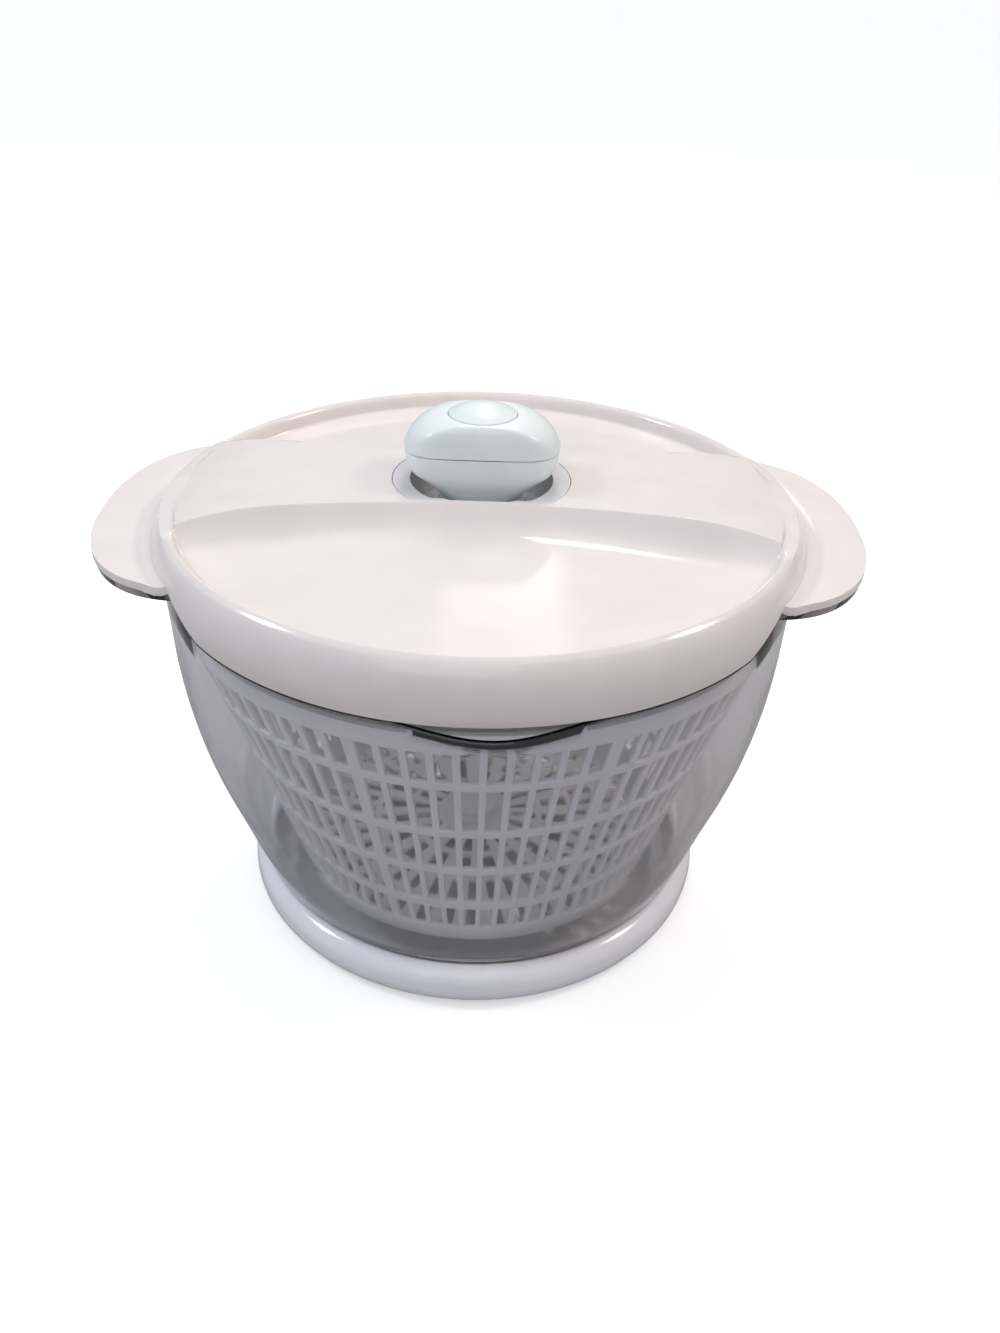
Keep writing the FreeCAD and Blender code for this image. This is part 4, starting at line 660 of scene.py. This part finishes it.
# %% Finishes of the plastics, metals and rubber
FINISHES = {
    # glossy moulded ABS: a clean, slightly warm white with sharp reflections
    "lid_plastic": moulded("glossy_abs_warm_white", "e6dedb", 0.14, 0.03),
    "ring_plastic": moulded("glossy_abs_white", "f0eff4", 0.14, 0.03),
    # satin moulded polypropylene: light goes a little way in, so shadows stay soft
    "basket_plastic": moulded("satin_polypropylene", "f0f0f1", 0.38, 0.05, grain_depth=0.01,
                              subsurface_weight=0.08, subsurface_scale=1.5 * MM, ior=1.49),
    # satin-gloss moulded ABS, pale blue-green
    "knob_plastic": moulded("satin_gloss_abs_pale_green", "e4eeec", 0.24, 0.03),
    "collar_plastic": moulded("satin_moulded_grey", "d2cfd2", 0.42, 0.05, grain_depth=0.01),
    "grey_plastic": moulded("moulded_acetal_grey", "a6a8ab", 0.4, 0.05, grain_depth=0.01, ior=1.48),
    "inner_plastic": moulded("satin_abs_white", "e2e2e0", 0.4, 0.05, grain_depth=0.01),
    "natural_acetal": moulded("natural_acetal", "e6e2d4", 0.35, 0.05, ior=1.48),
    # turned and drawn steel: grey mirror broken by fine marks
    "steel": moulded("turned_stainless_steel", "b4b4b6", 0.28, 0.08, grain_mm=0.3, metallic=1.0, ior=1.5),
    "spring_steel": moulded("drawn_spring_steel", "9c9ca0", 0.34, 0.08, grain_mm=0.3, metallic=1.0, ior=1.5),
    # soft rubber: no clear reflection, only a dull sheen
    "foot_rubber": moulded("soft_grey_rubber", "c0c2c6", 0.7, 0.08, grain_mm=0.5, grain_depth=0.03),
    # clear moulded SAN: bends light a little more than glass and shows a faint grey in its depth
    "clear_plastic": moulded("clear_moulded_san", "f4f3f6", 0.04, 0.01, wave_depth=0.02, tint=0.0,
                             transmission_weight=1.0, ior=1.57),
}
print(len(FINISHES), "finishes")

# %% Light through the clear plastic
clear = FINISHES["clear_plastic"].node_tree
shader = next(n for n in clear.nodes if n.bl_idname == "ShaderNodeBsdfPrincipled")
shadow = add_node(clear, "ShaderNodeLightPath").outputs["Is Shadow Ray"]
passing = add_node(clear, "ShaderNodeMapRange", {"Value": shadow, "To Min": 1.0, "To Max": 0.12})
clear.links.new(passing.outputs["Result"], shader.inputs["Alpha"])
print("shadow rays pass the bowl, as light does")

# %% Painting every piece
slot_of = {part["node"]: part["material_slot"] for part in frame["record"]["subparts"]}
for node, thing in frame["nodes"].items():
    thing.data.materials.clear()
    thing.data.materials.append(FINISHES[slot_of[node]])
for piece, body, slot, node in STANDS_FOR:
    piece.data.materials.clear()
    piece.data.materials.append(FINISHES[slot])
print("painted", len(frame["nodes"]) + len(STANDS_FOR), "pieces")

# %% [markdown]
# ## Studio
# The room is bright overhead and dim at the horizon, so faces that look up are white and the
# front of the rim and the ring falls into shade. The floor is a pale sheet lit a little from
# below, as on a light table. What it sends back to the object is held down, because a white
# floor would light the front from below and take that shade away. Two lamps, a cool one on the
# left and a warm one on the right, and one behind give the knob three soft shadows, and a small
# panel far behind shows as a soft bright patch in the front of the dish. A wide dim lamp in
# front opens up the basket seen through the bowl.

# %% Floor
SEEN_FLOOR, BOUNCED_FLOOR, FLOOR_GLOW = 0.92, 0.45, 0.35
bpy.ops.object.select_all(action="DESELECT")
bpy.ops.mesh.primitive_plane_add(size=30, location=(0, 0, 0))
floor = bpy.context.object
floor.name = "floor"
floor_paint = bpy.data.materials.new("matt_white_sheet")
floor_paint.use_nodes = True
sheet = floor_paint.node_tree
sheet.nodes.clear()
ray = add_node(sheet, "ShaderNodeLightPath").outputs
bounced = add_node(sheet, "ShaderNodeMath", {0: ray["Is Diffuse Ray"], 1: ray["Is Glossy Ray"]},
                   operation="ADD", use_clamp=True).outputs[0]
tone = add_node(sheet, "ShaderNodeMapRange", {"Value": bounced, "To Min": SEEN_FLOOR, "To Max": BOUNCED_FLOOR})
glow = add_node(sheet, "ShaderNodeMapRange", {"Value": bounced, "To Min": FLOOR_GLOW, "To Max": 0.0})
paper = add_node(sheet, "ShaderNodeBsdfDiffuse", {"Color": tone.outputs["Result"]})
below = add_node(sheet, "ShaderNodeEmission", {"Strength": glow.outputs["Result"]})
both = add_node(sheet, "ShaderNodeAddShader", {0: paper.outputs["BSDF"], 1: below.outputs["Emission"]})
add_node(sheet, "ShaderNodeOutputMaterial", {"Surface": both.outputs[0]})
floor.data.materials.append(floor_paint)
print("floor:", floor.dimensions.x, "m wide")

# %% Room
HORIZON, ZENITH = 0.36, 1.08
room = bpy.data.worlds.new("room_lit_from_above")
room.use_nodes = True
sky = room.node_tree
sky.nodes.clear()
direction = add_node(sky, "ShaderNodeTexCoord").outputs["Generated"]
height = add_node(sky, "ShaderNodeSeparateXYZ", {"Vector": direction}).outputs["Z"]
above = add_node(sky, "ShaderNodeMath", {0: height, 1: 0.0}, operation="MAXIMUM").outputs[0]
steep = add_node(sky, "ShaderNodeMath", {0: above, 1: 2.0}, operation="POWER").outputs[0]
strength = add_node(sky, "ShaderNodeMapRange", {"Value": steep, "To Min": HORIZON, "To Max": ZENITH})
backdrop = add_node(sky, "ShaderNodeBackground", {"Color": linear("f6f8ff"), "Strength": strength.outputs["Result"]})
add_node(sky, "ShaderNodeOutputWorld", {"Surface": backdrop.outputs["Background"]})
bpy.context.scene.world = room
print("room:", HORIZON, "at the horizon and", ZENITH, "overhead")


# %% Lamps
def lamp(name, place, size, power, colour):
    """A square soft lamp that faces the lid."""
    data = bpy.data.lights.new(name, "AREA")
    data.size = size
    data.energy = power
    data.color = linear(colour)[:3]
    thing = bpy.data.objects.new(name, data)
    bpy.context.scene.collection.objects.link(thing)
    thing.location = place
    thing.rotation_euler = (Vector((0, 0, 0.15)) - Vector(place)).to_track_quat("-Z", "Y").to_euler()
    return thing


lamps = [lamp("lamp_left", (-1.0, 0.0, 1.15), 0.25, 4.0, "eaf1ff"),
         lamp("lamp_right", (1.0, 0.05, 1.15), 0.25, 4.0, "ffeed6"),
         lamp("lamp_behind", (0.1, 0.75, 1.3), 0.3, 4.0, "fffaf2"),
         lamp("panel_behind", (0.02, 0.87, 0.76), 0.19, 0.31, "fff8ee"),
         lamp("lamp_front", (-0.2, -1.2, 1.1), 1.0, 2.6, "f6f8ff")]
print(len(lamps), "lamps")

# %% Camera
cam_data = bpy.data.cameras.new("camera")
cam_data.sensor_width = 36
cam_data.lens = 31.38
camera = bpy.data.objects.new("camera", cam_data)
bpy.context.scene.collection.objects.link(camera)
TARGET, DISTANCE = Vector((9.96, 0, 105.15)) * MM, 526 * MM
DOWN, ROLL = math.radians(32.3), 0.0314
forward = Vector((0, math.cos(DOWN), -math.sin(DOWN)))
level, upright = Vector((1, 0, 0)), Vector((0, math.sin(DOWN), math.cos(DOWN)))
right = level * math.cos(ROLL) + upright * math.sin(ROLL)
up = upright * math.cos(ROLL) - level * math.sin(ROLL)
turn = Matrix((right, up, -forward)).transposed()
camera.matrix_world = Matrix.Translation(TARGET - forward * DISTANCE) @ turn.to_4x4()
bpy.context.scene.camera = camera
print("camera at", [round(c, 3) for c in camera.location])
